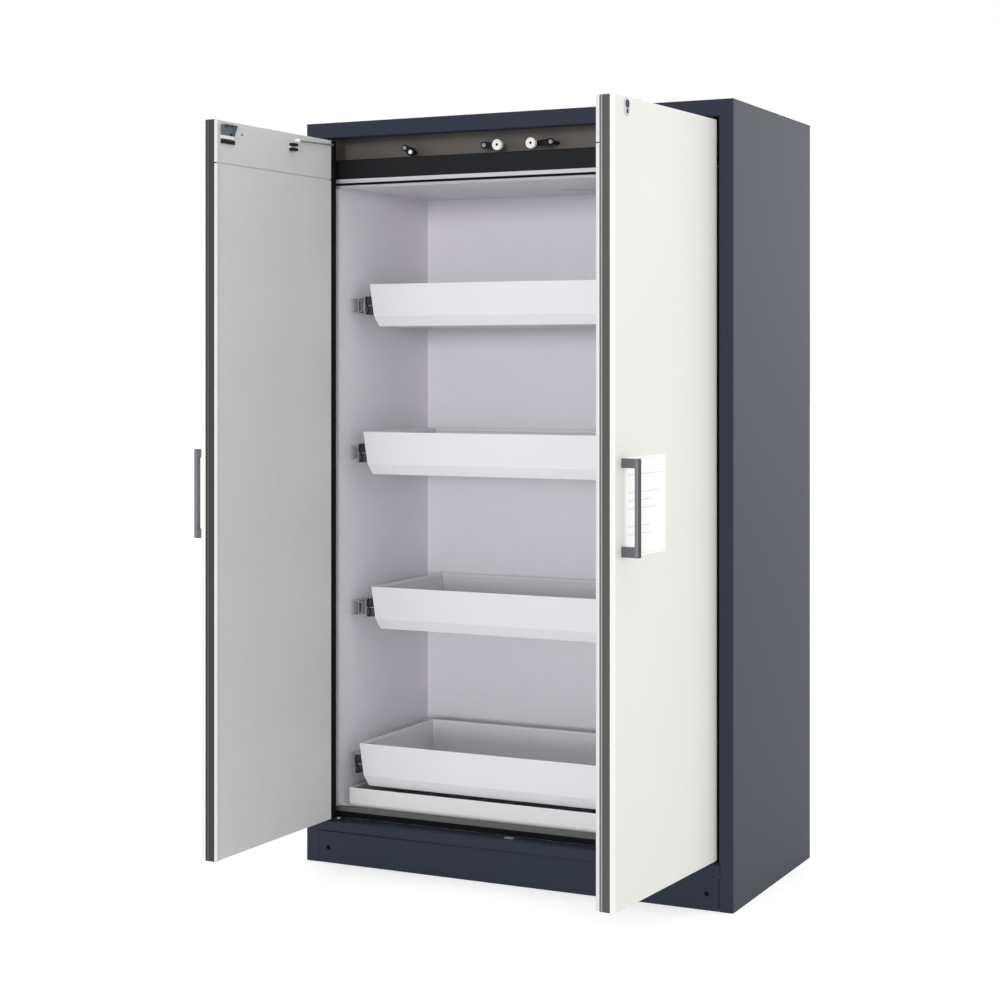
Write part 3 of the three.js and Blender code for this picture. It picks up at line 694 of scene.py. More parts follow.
class CABINET_OT_base(bpy.types.Operator):
    """Transport base: deck with a folded sill, skids of square tube and pivot bosses; plinth"""

    bl_idname = "cabinet.base"
    bl_label = "Transport Base"

    # Rows of (radius, height over the sill) of the boss for a pivot pin and of the screw beside it.
    boss = ((0, -1), (10.5, -1), (10.2, 0.4), (9, 1.6), (9, 5.2), (8.2, 6), (0, 6))
    screw = ((0, 2), (5.4, 2), (5.2, 4), (3, 5.6), (0, 5.8))
    screw_place = (509, -289)
    foot_low, foot_high, foot_sheet = (498, -304), (557, -274), 2.4
    skid_setback = 20
    edge_zone = 10
    # Sizes of the black plates behind the plinth's ends: painted shade.
    stop_width, stop_reach, stop_gap, stop_sheet, stop_inset = 40, 3.6, 2, 2, 4

    def execute(self, context):
        size = sizes()
        low, high = extent("base_frame")
        deck = extent("plinth_panel")[1][2] + size.plinth_seam
        top, half, wall = sill_top(), inner_half(size), size.skid_wall
        boards = extent("board_left")[0][1]
        sill = folded([[low[1], deck], [low[1], top], [boards, top]], -wall, size.fold)
        parts = [extruded(sill, -half, half, "x"), block([low[0], boards, top - wall], [*high[:2], top])]
        outer, middle = size.skid_width, size.skid_middle / 2
        for near, far in ((low[0], low[0] + outer), (-middle, middle), (high[0] - outer, high[0])):
            parts.append(self.skid([near, boards + self.skid_setback, 0], [far, high[1], top - wall], size))
        for side in SIDES:
            self.pivot_foot(side, top)
        dressed("transport_base", "cabinet", "carcass_paint", "carcass", joined(*parts), "base_frame")
        cover = softened("plinth_cover", "cabinet", "carcass", "plinth_panel",
                         size.plinth_fold)
        self.fit(cover.data, size)
        # Black plates behind the cover's ends: painted shade for its hole and its seam.
        stops = [mirrored(self.plinth_stop(size), side) for side in SIDES]
        dressed("plinth_stops", "cabinet", "black_plastic", "rubber", joined(*stops))
        return {"FINISHED"}

    def skid(self, low, high, size):
        """A square tube open at both ends: a rounded rectangle out along y and back inside."""
        wall, start, stop = size.skid_wall, low[1], high[1]
        rows = [[0, 0, start], [0, 0, stop], [wall, wall, stop], [wall, wall, start]]
        return carried(np.array(low), np.array(high), size.skid_corner, rows, "y", closed=True)

    def pivot_foot(self, side, top):
        """A plate under the pivot with a round boss for the pin, and a screw on it."""
        pivot = hinge(side)[0] * [SIGN[side], 1]
        plate = block([*self.foot_low, top], [*self.foot_high, top + self.foot_sheet],
                      corner=4, edge=0.6)
        foot = mirrored(joined(plate, spun(self.boss, [*pivot, top])), side)
        dressed(f"pivot_foot_{side}", "cabinet", "carcass_paint", "carcass", foot)
        screw = mirrored(spun(self.screw, [*self.screw_place, top], sides=24), side)
        dressed(f"pivot_screw_{side}", "cabinet", "fitting_steel", "rails", screw)

    def fit(self, mesh, size):
        """Moves the cover's ends outwards and its lower edge down, and tilts its upper edge, which
        rises with x."""
        points = corners_of(mesh)
        across, height = points[:, 0].copy(), points[:, 2].copy()
        half, zone = np.abs(across).max(), self.edge_zone
        points[:, 0] += np.where(np.abs(across) > half - zone, np.sign(across) * size.plinth_reach, 0)
        points[:, 2] -= np.where(height < zone, size.plinth_drop, 0)
        points[:, 2] += np.where(height > height.max() - zone, across / half * size.plinth_tilt, 0)
        mesh.vertices.foreach_set("co", (points * MM).ravel())

    def plinth_stop(self, size):
        """A black plate behind each end of the cover, which closes its hole and its seam: painted shade,
        dark where they would show the shade behind the cover.
        """
        low, high = extent("plinth_panel")
        near, inset = low[1] + size.sheet + self.stop_gap, self.stop_inset
        return block([high[0] - self.stop_width, near, low[2] + inset],
                     [high[0] + self.stop_reach, near + self.stop_sheet, high[2] - inset], "y")


class CABINET_OT_feet(bpy.types.Operator):
    """Levelling feet: a round pad and a threaded stem"""

    bl_idname = "cabinet.feet"
    bl_label = "Levelling Feet"

    # Rows of (radius, height) of the pad, as shares of its radius and its height.
    pad = ((0, 0), (0.93, 0), (1, 0.18), (1, 0.55), (0.9, 0.8), (0.5, 0.95), (0.42, 1), (0, 1))
    pad_height = 12
    nut = ((0, 11), (9.5, 11), (9.5, 13.6))
    thread_start, thread_core, thread_depth = 14, 7.2, 0.8

    def execute(self, context):
        for end in ("front", "rear"):
            for side in SIDES:
                self.foot(f"foot_{end}_{side}", sizes().thread)
        return {"FINISHED"}

    def foot(self, node, pitch):
        """The stem's radius goes out and in evenly once in every pitch."""
        low, high = extent(node)
        centre = [*(low + high)[:2] / 2, 0]
        pad = np.array(self.pad) * [(high[0] - low[0]) / 2, self.pad_height]
        places = np.arange(self.thread_start, high[2], pitch / 4)
        wave = np.abs((places / pitch) % 1 - 0.5) * 2
        thread = np.stack([self.thread_core + self.thread_depth * wave, places], -1)
        stem = np.concatenate([self.nut, thread, [[self.thread_core, high[2]], [0, high[2]]]])
        dressed(f"levelling_{node}", "cabinet", "black_plastic", "black",
                joined(spun(pad, centre), spun(stem, centre)), node)


class CABINET_OT_boards(bpy.types.Operator):
    """Coated fire boards of the inside"""

    bl_idname = "cabinet.boards"
    bl_label = "Fire Boards"

    def execute(self, context):
        for place in ("left", "right", "back", "floor", "ceiling"):
            coated(f"board_{place}", "boards")
        return {"FINISHED"}


class CABINET_OT_header(bpy.types.Operator):
    """Header over the opening: dark apron, steel plate behind it and the bright trim below"""

    bl_idname = "cabinet.header"
    bl_label = "Header"

    apron_height, shelf_depth, shelf_seam = 51.3, 12, 0.2
    cheek = 1.5
    trim_proud, trim_depth = 0.6, 1.8
    # Sizes of the black cover at the header's right end: painted shade in the gap at the right hinge.
    cover_inside, cover_outside, cover_sheet = 17, 14, 2

    def execute(self, context):
        """Under the plates, the trim is a bar across and the cover a black sheet at its right end: painted
        shade, which darkens what shows through the gap beside the right door's hinge.
        """
        size = sizes()
        low, high = extent("header_plate")
        front, shelf, back = low[1], low[2] + self.apron_height, high[1] - size.sheet
        top = low[2] - size.trim_drop
        self.plates(low, high, shelf, back, size)
        cover_start = high[0] - self.cover_inside
        trim = block([low[0], front - self.trim_proud, top - size.trim_height],
                     [cover_start - 1, front + self.trim_depth, top], "x", corner=0.6, edge=0.4)
        dressed("lintel_trim", "cabinet", "header_steel", "trim", trim)
        # The black cover: painted shade.
        cover = block([cover_start, front, top - size.trim_height],
                      [high[0] + self.cover_outside, front + self.cover_sheet, high[2]])
        dressed("closer_cover", "cabinet", "black_plastic", "rubber", cover)
        return {"FINISHED"}

    def plates(self, low, high, shelf, back, size):
        """The apron folded over into a narrow shelf, and the plate folded up from it behind, closed
        by a cheek at either end."""
        seam = low[1] + self.shelf_depth
        apron = folded([low[1:], [low[1], shelf], [seam, shelf]], -size.sheet, size.fold)
        plate = folded([[seam + self.shelf_seam, shelf], [back, shelf], [back, high[2]]],
                       -size.sheet, size.fold)
        dressed("header_apron", "cabinet", "black_plastic", "black",
                extruded(apron, low[0], high[0], "x"), "header_plate")
        cheeks = [block([end, low[1] + 1, shelf + 0.5],
                        [end - np.sign(end) * self.cheek, back - 0.5, high[2]])
                  for end in (low[0], high[0])]
        dressed("header_back", "cabinet", "header_steel", "header",
                joined(extruded(plate, low[0], high[0], "x"), *cheeks), "header_plate")


class CABINET_OT_seal(bpy.types.Operator):
    """Rubber seal round the opening, with two ribs"""

    bl_idname = "cabinet.seal"
    bl_label = "Opening Seal"

    # Sizes of the sill strip, a sheet of painted shade.
    strip_front, strip_rise = 0.4, 1
    leaf_reach = 4
    lip_depth = 2
    outer_corner, inner_corner = 2, 1

    def execute(self, context):
        """The seal's section goes round the opening: its front is a line of two humps, as high as
        the square root of a sine, and its back is flat."""
        size = sizes()
        low, high = extent("opening_seal")
        ceiling = extent("board_ceiling")[0][2]
        reach = extent("board_right")[0][0] + size.seal_side
        inner_low = np.array([-reach, low[2] + size.seal_foot])
        inner_high = np.array([reach, ceiling + size.seal_top])
        high[2] = extent("header_plate")[0][2] - size.trim_drop - size.trim_height - GAP
        front, back = low[1] + size.seal_front, high[1]
        share = np.linspace(0, 1, 13)
        humps = np.abs(np.sin(2 * math.pi * share)) ** 0.5
        depth = np.concatenate([front + size.seal_rib * (1 - humps), [back, back]])[:, None]
        share = np.concatenate([share, [1, 0]])[:, None, None]
        still = np.zeros((1, 2))
        outer = loops(low[[0, 2]], high[[0, 2]], still, self.outer_corner)
        inner = loops(inner_low, inner_high, still, self.inner_corner)
        grid = laid(outer * (1 - share) + inner * share, depth, "y")
        dressed("door_seal", "cabinet", "seal_rubber", "rubber", skin(grid, closed=True), "opening_seal")
        self.sill(reach, inner_low[1] + GAP, front + self.strip_front, back)
        lip = block([-reach + GAP, back - self.lip_depth, ceiling - size.ceiling_lip],
                    [reach - GAP, back, inner_high[1] - GAP], "x")
        dressed("ceiling_lip", "cabinet", "interior_board", "lip", lip)
        return {"FINISHED"}

    def sill(self, reach, bottom, front, back):
        """A grey strip over the seal's foot, and a thin sheet on the floor board up to the sump. Both are
        painted shade: dark sheets where the board's front edge and the floor before the sump lie in shade.
        """
        floor = extent("board_floor")[1][2]
        top = floor + self.strip_rise
        leaf_back = extent("sump_tray")[0][1] + self.leaf_reach
        strip = block([-reach, front, bottom], [reach, back, top], "x", corner=1.2)
        leaf = block([-reach, back - 1, floor + GAP / 2], [reach, leaf_back, top], "x",
                     corner=0.3, edge=0.2)
        dressed("sill_strip", "cabinet", "seal_rubber", "sill_strip", joined(strip, leaf))


class CABINET_OT_arms(bpy.types.Operator):
    """Catch arms with their rollers, and closing-sequence arms with their wheels"""

    bl_idname = "cabinet.arms"
    bl_label = "Header Arms"

    eye_radius, tip_radius, eye_shaft = 9, 6, 5
    stand_off, link_sheet = 40.5, 6
    catch_shaft, wheel_bore = 3.2, 3.5
    tyre_radius, tyre_width, tyre_shaft = 10.5, 12, 3.5
    eye_offset = (29, 14)
    hub_share, hub_rise = 0.52, 0.8
    wheel_recess, recess_share = 0.8, 0.45

    # Discs of the bolt's head: radius, start and end along y, and rounding.
    washer, bolt_head = (5.6, -1, 0), (4.2, -3.6, -1, 0.5)

    # The arms' rounding: shares of the outline's size, and shares of the sheet's thickness.
    rim_shares, depth_shares = (0.94, 0.98, 1, 1, 0.98, 0.94), (0, 0.06, 0.25, 0.75, 0.94, 1)

    # Rows of (share of the roller's radius, share of its width), from rim to rim over the groove.
    tread = ((0.5, 0), (0.92, 0), (1, 0.12), (1, 0.4), (0.95, 0.5), (1, 0.6), (1, 0.88), (0.92, 1))

    def execute(self, context):
        for side in SIDES:
            self.catch(side)
            self.sequence(side)
        return {"FINISHED"}

    def arm(self, eye, tip, back):
        """A flat link with its edge rounded on both faces, and the shaft in its eye. Its outline
        shrinks towards the middle on the first and last rows."""
        outline = link(eye, self.eye_radius, tip, self.tip_radius)
        middle = outline.mean(0)
        share = np.array(self.rim_shares)[:, None, None]
        places = np.array(self.depth_shares)[:, None]
        near = back - self.stand_off - self.link_sheet
        flat = skin(laid(middle + (outline - middle) * share, near + self.link_sheet * places, "y"))
        return joined(flat, self.shaft(eye, self.eye_shaft, near + self.link_sheet - 1, back)), near

    def shaft(self, place, radius, near, far):
        """A round plate carried along y between two depths."""
        return spun(disc(radius, 0, far - near), [place[0], near, place[1]], "y", sides=24)

    def fitted(self, kind, side, arm):
        """Dresses an arm that was drawn on the right."""
        body = f"{kind}_arm_{side}"
        dressed(f"{kind}_link_{side}", body, "black_plastic", "black", mirrored(arm, side), body)

    def bolted(self, kind, side, eye, near):
        """The bolt's head on an arm: a washer and a hexagon, both as discs about its eye."""
        centre = [eye[0], near, eye[1]]
        bolt = joined(spun(disc(*self.washer), centre, "y", sides=28),
                      spun(disc(*self.bolt_head), centre, "y", sides=6))
        dressed(f"{kind}_bolt_{side}", f"{kind}_arm_{side}", "fitting_steel", "fitting",
                mirrored(bolt, side))

    def catch(self, side):
        """An arm with a shaft at its tip, on which a grooved roller turns."""
        roller_low, roller_high = extent(f"catch_roller_{side}", side)
        high = extent(f"catch_arm_{side}", side)[1]
        start, width = roller_low[1], roller_high[1] - roller_low[1]
        tip, eye = (roller_low + roller_high)[[0, 2]] / 2, high[[0, 2]] - self.eye_radius
        arm, near = self.arm(eye, tip, high[1])
        shaft = self.shaft(tip, self.catch_shaft, start, near + self.link_sheet - 1)
        self.fitted("catch", side, joined(arm, shaft))
        self.bolted("catch", side, eye, near)
        radius, bore = (roller_high[2] - roller_low[2]) / 2, self.wheel_bore
        recess = self.wheel_recess
        profile = [[bore, recess], [radius * self.recess_share, recess],
                   *np.array(self.tread) * [radius, width], [bore, width]]
        wheel = spun(profile, [tip[0], start, tip[1]], "y", closed=True)
        dressed(f"catch_wheel_{side}", f"catch_roller_{side}", "roller_plastic", "roller",
                mirrored(wheel, side), f"catch_roller_{side}")

    def sequence(self, side):
        """An arm with a tyred wheel at its tip, and a white hub on the wheel."""
        low, high = extent(f"sequence_arm_{side}", side)
        radius = self.tyre_radius
        wheel = low[[0, 2]] + radius
        eye, centre = wheel + self.eye_offset, [wheel[0], low[1], wheel[1]]
        arm, near = self.arm(eye, wheel, high[1])
        tyre = spun(disc(radius, 0, self.tyre_width, edge=1.5), centre, "y")
        shaft = self.shaft(wheel, self.tyre_shaft, low[1] + self.tyre_width / 2, near + self.link_sheet - 1)
        self.fitted("sequence", side, joined(arm, tyre, shaft))
        hub = spun(disc(radius * self.hub_share, -self.hub_rise, 1), centre, "y")
        dressed(f"sequence_hub_{side}", f"sequence_arm_{side}", "roller_plastic", "roller",
                mirrored(hub, side))
        self.bolted("sequence", side, eye, near)


class CABINET_OT_door_leaves(bpy.types.Operator):
    """Doors: outer shell, fire core with its edge strip, and inner lining"""

    bl_idname = "cabinet.door_leaves"
    bl_label = "Door Leaves"

    core_corner, core_lip = 1.2, 9
    seal_sheet = 4.5
    panel_corner = 1.2
    base_setback, base_inset = 1.5, 1

    def execute(self, context):
        for side in SIDES:
            self.shell(side, sizes())
            self.core(side, sizes())
            self.lining(side, sizes())
        return {"FINISHED"}

    def shell(self, side, size):
        """The face, a round bend to the folded edges, and back inside by the sheet."""
        low, high = shut(f"door_shell_{side}", side)
        sheet, bend = size.shell_sheet, size.shell_fold
        rows = np.concatenate([
            arc(bend, low[1] + bend, bend, 270, 180, steps=5),
            [[0, 0, high[1] - sheet / 4], [sheet / 4, sheet / 4, high[1]], [sheet, sheet, high[1]]],
            arc(bend, low[1] + bend, bend - sheet, 180, 270, steps=4),
        ])
        hung("door_face", side, "door_paint", "door_face",
             carried(low, high, size.shell_corner, rows, "y"), "door_shell")

    def core(self, side, size):
        """The core behind the shell, with a groove all round that holds the edge strip."""
        shell_low, shell_high = shut(f"door_shell_{side}", side)
        low, high = shut(f"door_core_{side}", side)
        face = shut(f"door_lining_{side}", side)[1][1]
        start = shell_high[1] + GAP
        near = shell_low[1] + (size.strip_left if side == "left" else size.strip_right)
        far, deep, edge = near + size.strip_width, size.strip_depth, size.edge
        rows = [[edge, edge, start], [0, 0, start + edge], [0, 0, near], [deep, deep, near],
                [deep, deep, far], [0, 0, far], [0, 0, high[1] - edge], [edge, edge, high[1]]]
        body = carried(low, high, self.core_corner, rows, "y")
        lip = block([low[0], high[1] - 1, low[2]],
                    [low[0] + self.core_lip, face - size.edging_wrap - GAP, high[2]])
        # The left door's edge here and its strip below take darker copies of the right's finishes: painted
        # shade.
        hung("door_fire_core", side, "door_core", f"{side}_edge", joined(body, lip), "door_core")
        rows = [[deep, deep, near + GAP], [edge, edge, near + GAP], [0, 0, near + 2 * GAP],
                [0, 0, far - 2 * GAP], [edge, edge, far - GAP], [deep, deep, far - GAP]]
        strip = carried(low, high, self.core_corner, rows, "y", closed=True)
        hung("door_edge_strip", side, "seal_rubber", f"{side}_strip", strip)

    def lining(self, side, size):
        """A base sheet with two panels on it, a groove apart, an edging along the free edge and a
        rubber strip at the hinge."""
        low, high = shut(f"door_lining_{side}", side)
        core_low, core_high = shut(f"door_core_{side}", side)
        free, far, face = low[0], size.lining_reach, high[1]
        inset, corner = self.base_inset, self.panel_corner
        bottom, top, root = core_low[2] + inset, core_high[2] - inset, core_high[1] + GAP
        groove, half = high[2] - size.lining_groove_drop, size.lining_groove / 2
        edging = free + size.edging_width
        parts = [block([edging + self.base_setback, root, bottom + inset],
                       [far - inset, face - size.lining_groove_depth, top - inset])]
        for start, stop in ((bottom, groove - half), (groove + half, top)):
            parts.append(block([edging + GAP, face - size.lining_sheet, start], [far, face, stop],
                               "y", corner, size.lining_edge))
            parts.append(block([free + LEAST, face - size.edging_wrap, start],
                               [edging, face + size.edging_rise, stop], "z", corner))
        hung("door_inner", side, "door_lining", "door_lining", joined(*parts), "door_lining")
        rubber = block([far + inset, root, bottom],
                       [core_high[0] - inset, core_high[1] + self.seal_sheet, top], corner=2, edge=1)
        hung("door_hinge_seal", side, "seal_rubber", "rubber", rubber)


class CABINET_OT_handles(bpy.types.Operator):
    """Handles: a bar on two feet, with a dark inlay on its outer face"""

    bl_idname = "cabinet.handles"
    bl_label = "Handles"

    foot_inset = np.array([0.6, 0, 0.4])
    inlay_inset = np.array([0.8, 0, 0.8])

    def execute(self, context):
        for side in SIDES:
            self.handle(side, sizes())
        return {"FINISHED"}

    def handle(self, side, size):
        """The bar, the feet and the inlay are blocks within the limits of the frame's handle."""
        low, high = shut(f"door_handle_{side}", side)
        low[2] += size.handle_lift
        front, inlay, grip = low[1], size.handle_inlay, size.handle_grip
        # The bar, in the lighter copy of the feet's coat: painted highlight.
        bar = block([low[0], front + inlay / 2, low[2]], [high[0], front + grip, high[2]], "z",
                    size.handle_round, edge=0.8)
        hung("handle_bar", side, "handle_paint", "handle_bar", bar, "door_handle")
        inner, outer = low + self.foot_inset, high - self.foot_inset
        feet = [block([inner[0], front + grip - 1, start], [outer[0], high[1], stop], "y",
                      corner=1.2, edge=0.3)
                for start, stop in ((inner[2], low[2] + size.handle_base),
                                    (high[2] - size.handle_foot, outer[2]))]
        hung("handle_feet", side, "handle_paint", "handle", joined(*feet))
        # The dark inlay, in part a painted reflection on the bar's outer face.
        inner, outer = low + self.inlay_inset, high - self.inlay_inset
        strip = block(inner, [outer[0], front + inlay, outer[2]], "y", corner=1.4, edge=0.5)
        hung("handle_inlay", side, "handle_paint", "inlay", strip)


class CABINET_OT_keepers(bpy.types.Operator):
    """Keepers: steel boxes on the doors' inner face, lower where the rollers come in"""

    bl_idname = "cabinet.keepers"
    bl_label = "Keepers"

    start, stop = 21, 76
    lip_limits = {"left": (18, 74), "right": (23, 79)}
    lip_height, lip_depth, lip_seam = 9, 3, 0.5
    sheet, box_depth, mouth_depth, mouth_height = 1.5, 12, 3, 3
    foot_drop, foot_seam, foot_depth = 11, 1.5, 4
    hook_place, hook_radius, hook_rise = 63, 4, 1.8
    screw_place = (109.5, 17.6)
    screw = ((0, 0), (3.4, 0), (3.2, 1.4), (1.5, 2.2), (0, 2.3))

    def execute(self, context):
        for side in SIDES:
            self.keeper(side)
        return {"FINISHED"}

    def keeper(self, side):
        """A box open towards the door, whose wall is cut down where the roller comes in, a white
        lip under it, a foot with a hook, and a screw beside it."""
        low, high = shut(f"door_keeper_{side}", side)
        near, shelf, sheet = low[1], low[2] + self.lip_height, self.sheet
        far = near + self.box_depth
        rows = [[0, 0, far - sheet / 3], [sheet / 3, sheet / 3, far], [sheet, sheet, far],
                [sheet, sheet, near + sheet]]
        points, faces = carried(np.array([self.start, near, shelf]), np.array([self.stop, far, high[2]]),
                                2, np.concatenate([arc(1, near + 1, 1, 270, 180), rows]), "y")
        mouth_top = shelf + self.mouth_height
        mouth = points[:, 2] < mouth_top
        points[mouth, 1] = np.minimum(points[mouth, 1], near + self.mouth_depth)
        hung("keeper_box", side, "fitting_steel", "keeper", (points, faces), "door_keeper")
        lip_start, lip_stop = self.lip_limits[side]
        lip = block([lip_start, near, low[2] + self.lip_seam],
                    [lip_stop, near + self.lip_depth, shelf - self.lip_seam], "y", corner=3)
        hung("keeper_lip", side, "roller_plastic", "roller", lip)
        foot = block([self.start, near, low[2] - self.foot_drop],
                     [self.stop, near + self.foot_depth, low[2] - self.foot_seam], "y", corner=1.5)
        hook = spun(disc(self.hook_radius, 0, self.hook_rise),
                    [self.hook_place, near + sheet, mouth_top], "y")
        hung("keeper_foot", side, "black_plastic", "black", joined(foot, hook))
        place, rise = self.screw_place
        screw = spun(self.screw, [place, near, low[2] + rise], "y", sides=20)
        hung("keeper_screw", side, "fitting_steel", "fitting", screw)


class CABINET_OT_stays(bpy.types.Operator):
    """Stays: a bracket with two ribs, a white knob and a notched bar towards the hinge"""

    bl_idname = "cabinet.stays"
    bl_label = "Door Stays"

    start, stop = 318, 340
    drop, rib_height, rib_pitch, rib_depth = 3.4, 7.2, 12, 13
    plate_low, plate_high, plate_depth = 6, 13, 3
    knob_place, knob_depth, knob_radius = (348, 27.5), 12, 5
    bar_radius, notch_radius, notch_pitch, bar_stand = 2.6, 1.5, 6, 8
    bar_short, bar_drop, bar_tip = 12, 2, 4
    notch = (0, 0.2, 3, 3.2)

    def execute(self, context):
        for side in SIDES:
            self.stay(side)
        return {"FINISHED"}

    def stay(self, side):
        """Two ribs and a plate between them as blocks, a knob as a disc, and the bar."""
        low, high = shut(f"door_stay_{side}", side)
        near, bottom = low[1], low[2] - self.drop
        ribs = [block([self.start, near, place],
                      [self.stop, near + self.rib_depth, place + self.rib_height], "x",
                      corner=1.2, edge=0.6)
                for place in (bottom, bottom + self.rib_pitch)]
        hung("stay_ribs", side, "black_plastic", "black", joined(*ribs), "door_stay")
        plate = block([self.start, near, bottom + self.plate_low],
                      [self.stop, near + self.plate_depth, bottom + self.plate_high])
        knob = np.array([self.knob_place[0], near, bottom + self.knob_place[1]])
        button = spun(disc(self.knob_radius, 0, self.knob_depth, 1.2), knob, "y")
        hung("stay_knob", side, "roller_plastic", "roller", joined(plate, button))
        bar = self.bar(knob + [0, self.bar_stand, 0], high[0] - knob[0] - self.bar_short,
                       high[2] - knob[2] - self.bar_drop)
        hung("stay_bar", side, "fitting_steel", "fitting", bar)

    def bar(self, start, reach, rise):
        """A round bar with notches: its radius steps in and out along it, and it climbs evenly."""
        thick, thin = self.bar_radius, self.notch_radius
        steps = np.arange(self.notch_pitch, reach, self.notch_pitch)
        places = np.repeat(steps, 4) + np.tile(self.notch, len(steps))
        radii = np.tile([thick, thin, thin, thick], len(steps))
        end = reach + self.bar_tip
        profile = np.stack([np.r_[0, thick, radii, thick, 0], np.r_[0, 0, places, end, end]], -1)
        points, faces = spun(profile, start, "x", sides=16)
        points[:, 2] += rise * np.abs(points[:, 0] - start[0]) / reach
        return points, faces


class CABINET_OT_pivots(bpy.types.Operator):
    """Pivot pins between the sill's bosses and the roof"""

    bl_idname = "cabinet.pivots"
    bl_label = "Pivot Pins"

    # The washer's radius, start and end over the pin's foot, and rounding.
    washer = (8, 5.4, 6, 0.2)

    def execute(self, context):
        """A pin and a washer on it, as discs about the door's pivot."""
        for side in SIDES:
            low, high = extent(f"pivot_pin_{side}")
            centre = [*hinge(side)[0], low[2]]
            pin = spun(disc((high[0] - low[0]) / 2, 0, high[2] - low[2], edge=0.8), centre, sides=24)
            washer = spun(disc(*self.washer), centre, sides=28)
            # The steel pins take the black finish: painted shade, as they stand in the shade of the gaps at
            # the doors' tops.
            dressed(f"hinge_pin_{side}", f"door_{side}", "fitting_steel", "black",
                    joined(pin, washer), f"pivot_pin_{side}")
        return {"FINISHED"}


class CABINET_OT_lock(bpy.types.Operator):
    """Lock: an oval plate on the door, and a cylinder with its key slot"""

    bl_idname = "cabinet.lock"
    bl_label = "Lock"

    # Rows of (radius, depth) of the plug, and its radius.
    plug = ((0, 1), (7.2, 0.9), (7.74, 0), (9, 0.5), (9, 19), (0, 19))
    radius = 9
    plate_half, plate_drop, plate_corner = np.array([11.5, 20]), np.array([0, 7]), 11.3
    slot_half, slot_depths = np.array([0.7, 4.5]), (0.5, 1.2)
    housing_half, housing_depths, housing_drop = np.array([4.8, 6]), (0.6, 1.4), 16

    def execute(self, context):
        """The plug is spun about y. The slot in it and the housing below it are blocks."""
        low, high = shut("lock_cylinder", "right")
        face = shut("door_shell_right", "right")[0][1]
        centre, front = ((low + high) / 2)[[0, 2]], low[1]
        plug = spun(self.plug, [centre[0], front, centre[1]], "y")
        self.fitted("lock_plug", "lock", "inlay", plug, "lock_cylinder")
        slot = self.oblong(centre, front, self.slot_half, self.slot_depths, 0.6, 0.2)
        self.fitted("lock_slot", "lock", "keeper", slot)
        self.fitted("lock_plate", "door_right", "trim", self.plate(centre, face, front))
        housing = self.oblong(centre - [0, self.housing_drop], front, self.housing_half,
                              self.housing_depths, 4.5, 0.3)
        self.fitted("lock_housing", "door_right", "inlay", housing)
        return {"FINISHED"}

    def oblong(self, middle, front, half, depths, corner, edge):
        """A block about a middle (x, z), between two depths behind the front."""
        (left, bottom), (right, top) = middle - half, middle + half
        return block([left, front + depths[0], bottom], [right, front + depths[1], top], "y", corner, edge)

    def fitted(self, name, body, finish, surface, *replaced):
        """Dresses a piece that was drawn on the closed right door."""
        dressed(name, body, "lock_metal", finish, opened(surface, "right"), *replaced)

    def plate(self, centre, face, front):
        """A ring between an oval and a circle of equally many points, from the door's face up to
        its rim and down again inside."""
        bore, middle, still = self.radius + GAP, centre - self.plate_drop, np.zeros((1, 2))
        oval = loops(middle - self.plate_half, middle + self.plate_half, still, self.plate_corner)
        hole = loops(centre - bore, centre + bore, still, bore - LEAST)
        share = np.array([0, 0, 0.12, 1, 1])[:, None, None]
        root = face - GAP / 2
        depth = np.array([root, front + 1.6, front + 1.1, front + 1.1, root])[:, None]
        return skin(laid(oval * (1 - share) + hole * share, depth, "y"), closed=True)


class CABINET_OT_label(bpy.types.Operator):
    """Bare label on the right door, with a frame and a few plain rules"""

    bl_idname = "cabinet.label"
    bl_label = "Label"

    label_low, label_high = (50, 890), (255, 1111)
    film_front, film_back, ink = 0.45, 0.05, 0.06
    frame_inset, frame_line, corner = 5, 0.8, 6
    margin, rule_height = 14, 2

    # For each rule its place, as a share of the label's height, and its length, as one of its width.
    rules = ((0.82, 1), (0.64, 0.9), (0.56, 0.75), (0.48, 0.85), (0.30, 0.6), (0.22, 0.7))

    def execute(self, context):
        """The film is a block on the face; the frame and the rules are joined as one piece."""
        face = shut("door_shell_right", "right")[0][1]
        low = np.array([self.label_low[0], face - self.film_front, self.label_low[1]])
        high = np.array([self.label_high[0], face - self.film_back, self.label_high[1]])
        film = block(low, high, "y", self.corner, edge=0.12)
        dressed("label_film", "door_right", "door_paint", "label", opened(film, "right"))
        lines = [self.frame_ring(low, high)] + [self.rule(low, high, *rule) for rule in self.rules]
        dressed("label_rules", "door_right", "door_paint", "rule", opened(joined(*lines), "right"))
        return {"FINISHED"}

    def frame_ring(self, low, high):
        """A thin line all round, as a flat closed ring."""
        outer, root, top = self.frame_inset, low[1], low[1] - self.ink
        inner = outer + self.frame_line
        rows = [[outer, outer, root], [outer, outer, top], [inner, inner, top], [inner, inner, root]]
        return carried(low, high, self.corner, rows, "y", closed=True)

    def rule(self, low, high, share, reach):
        """A thin block across the label, from its left margin."""
        left, right = low[0] + self.margin, high[0] - self.margin
        z = low[2] + (high[2] - low[2]) * share
        return block([left, low[1] - self.ink, z],
                     [left + (right - left) * reach, low[1], z + self.rule_height], "y", 0.5, 0.02)


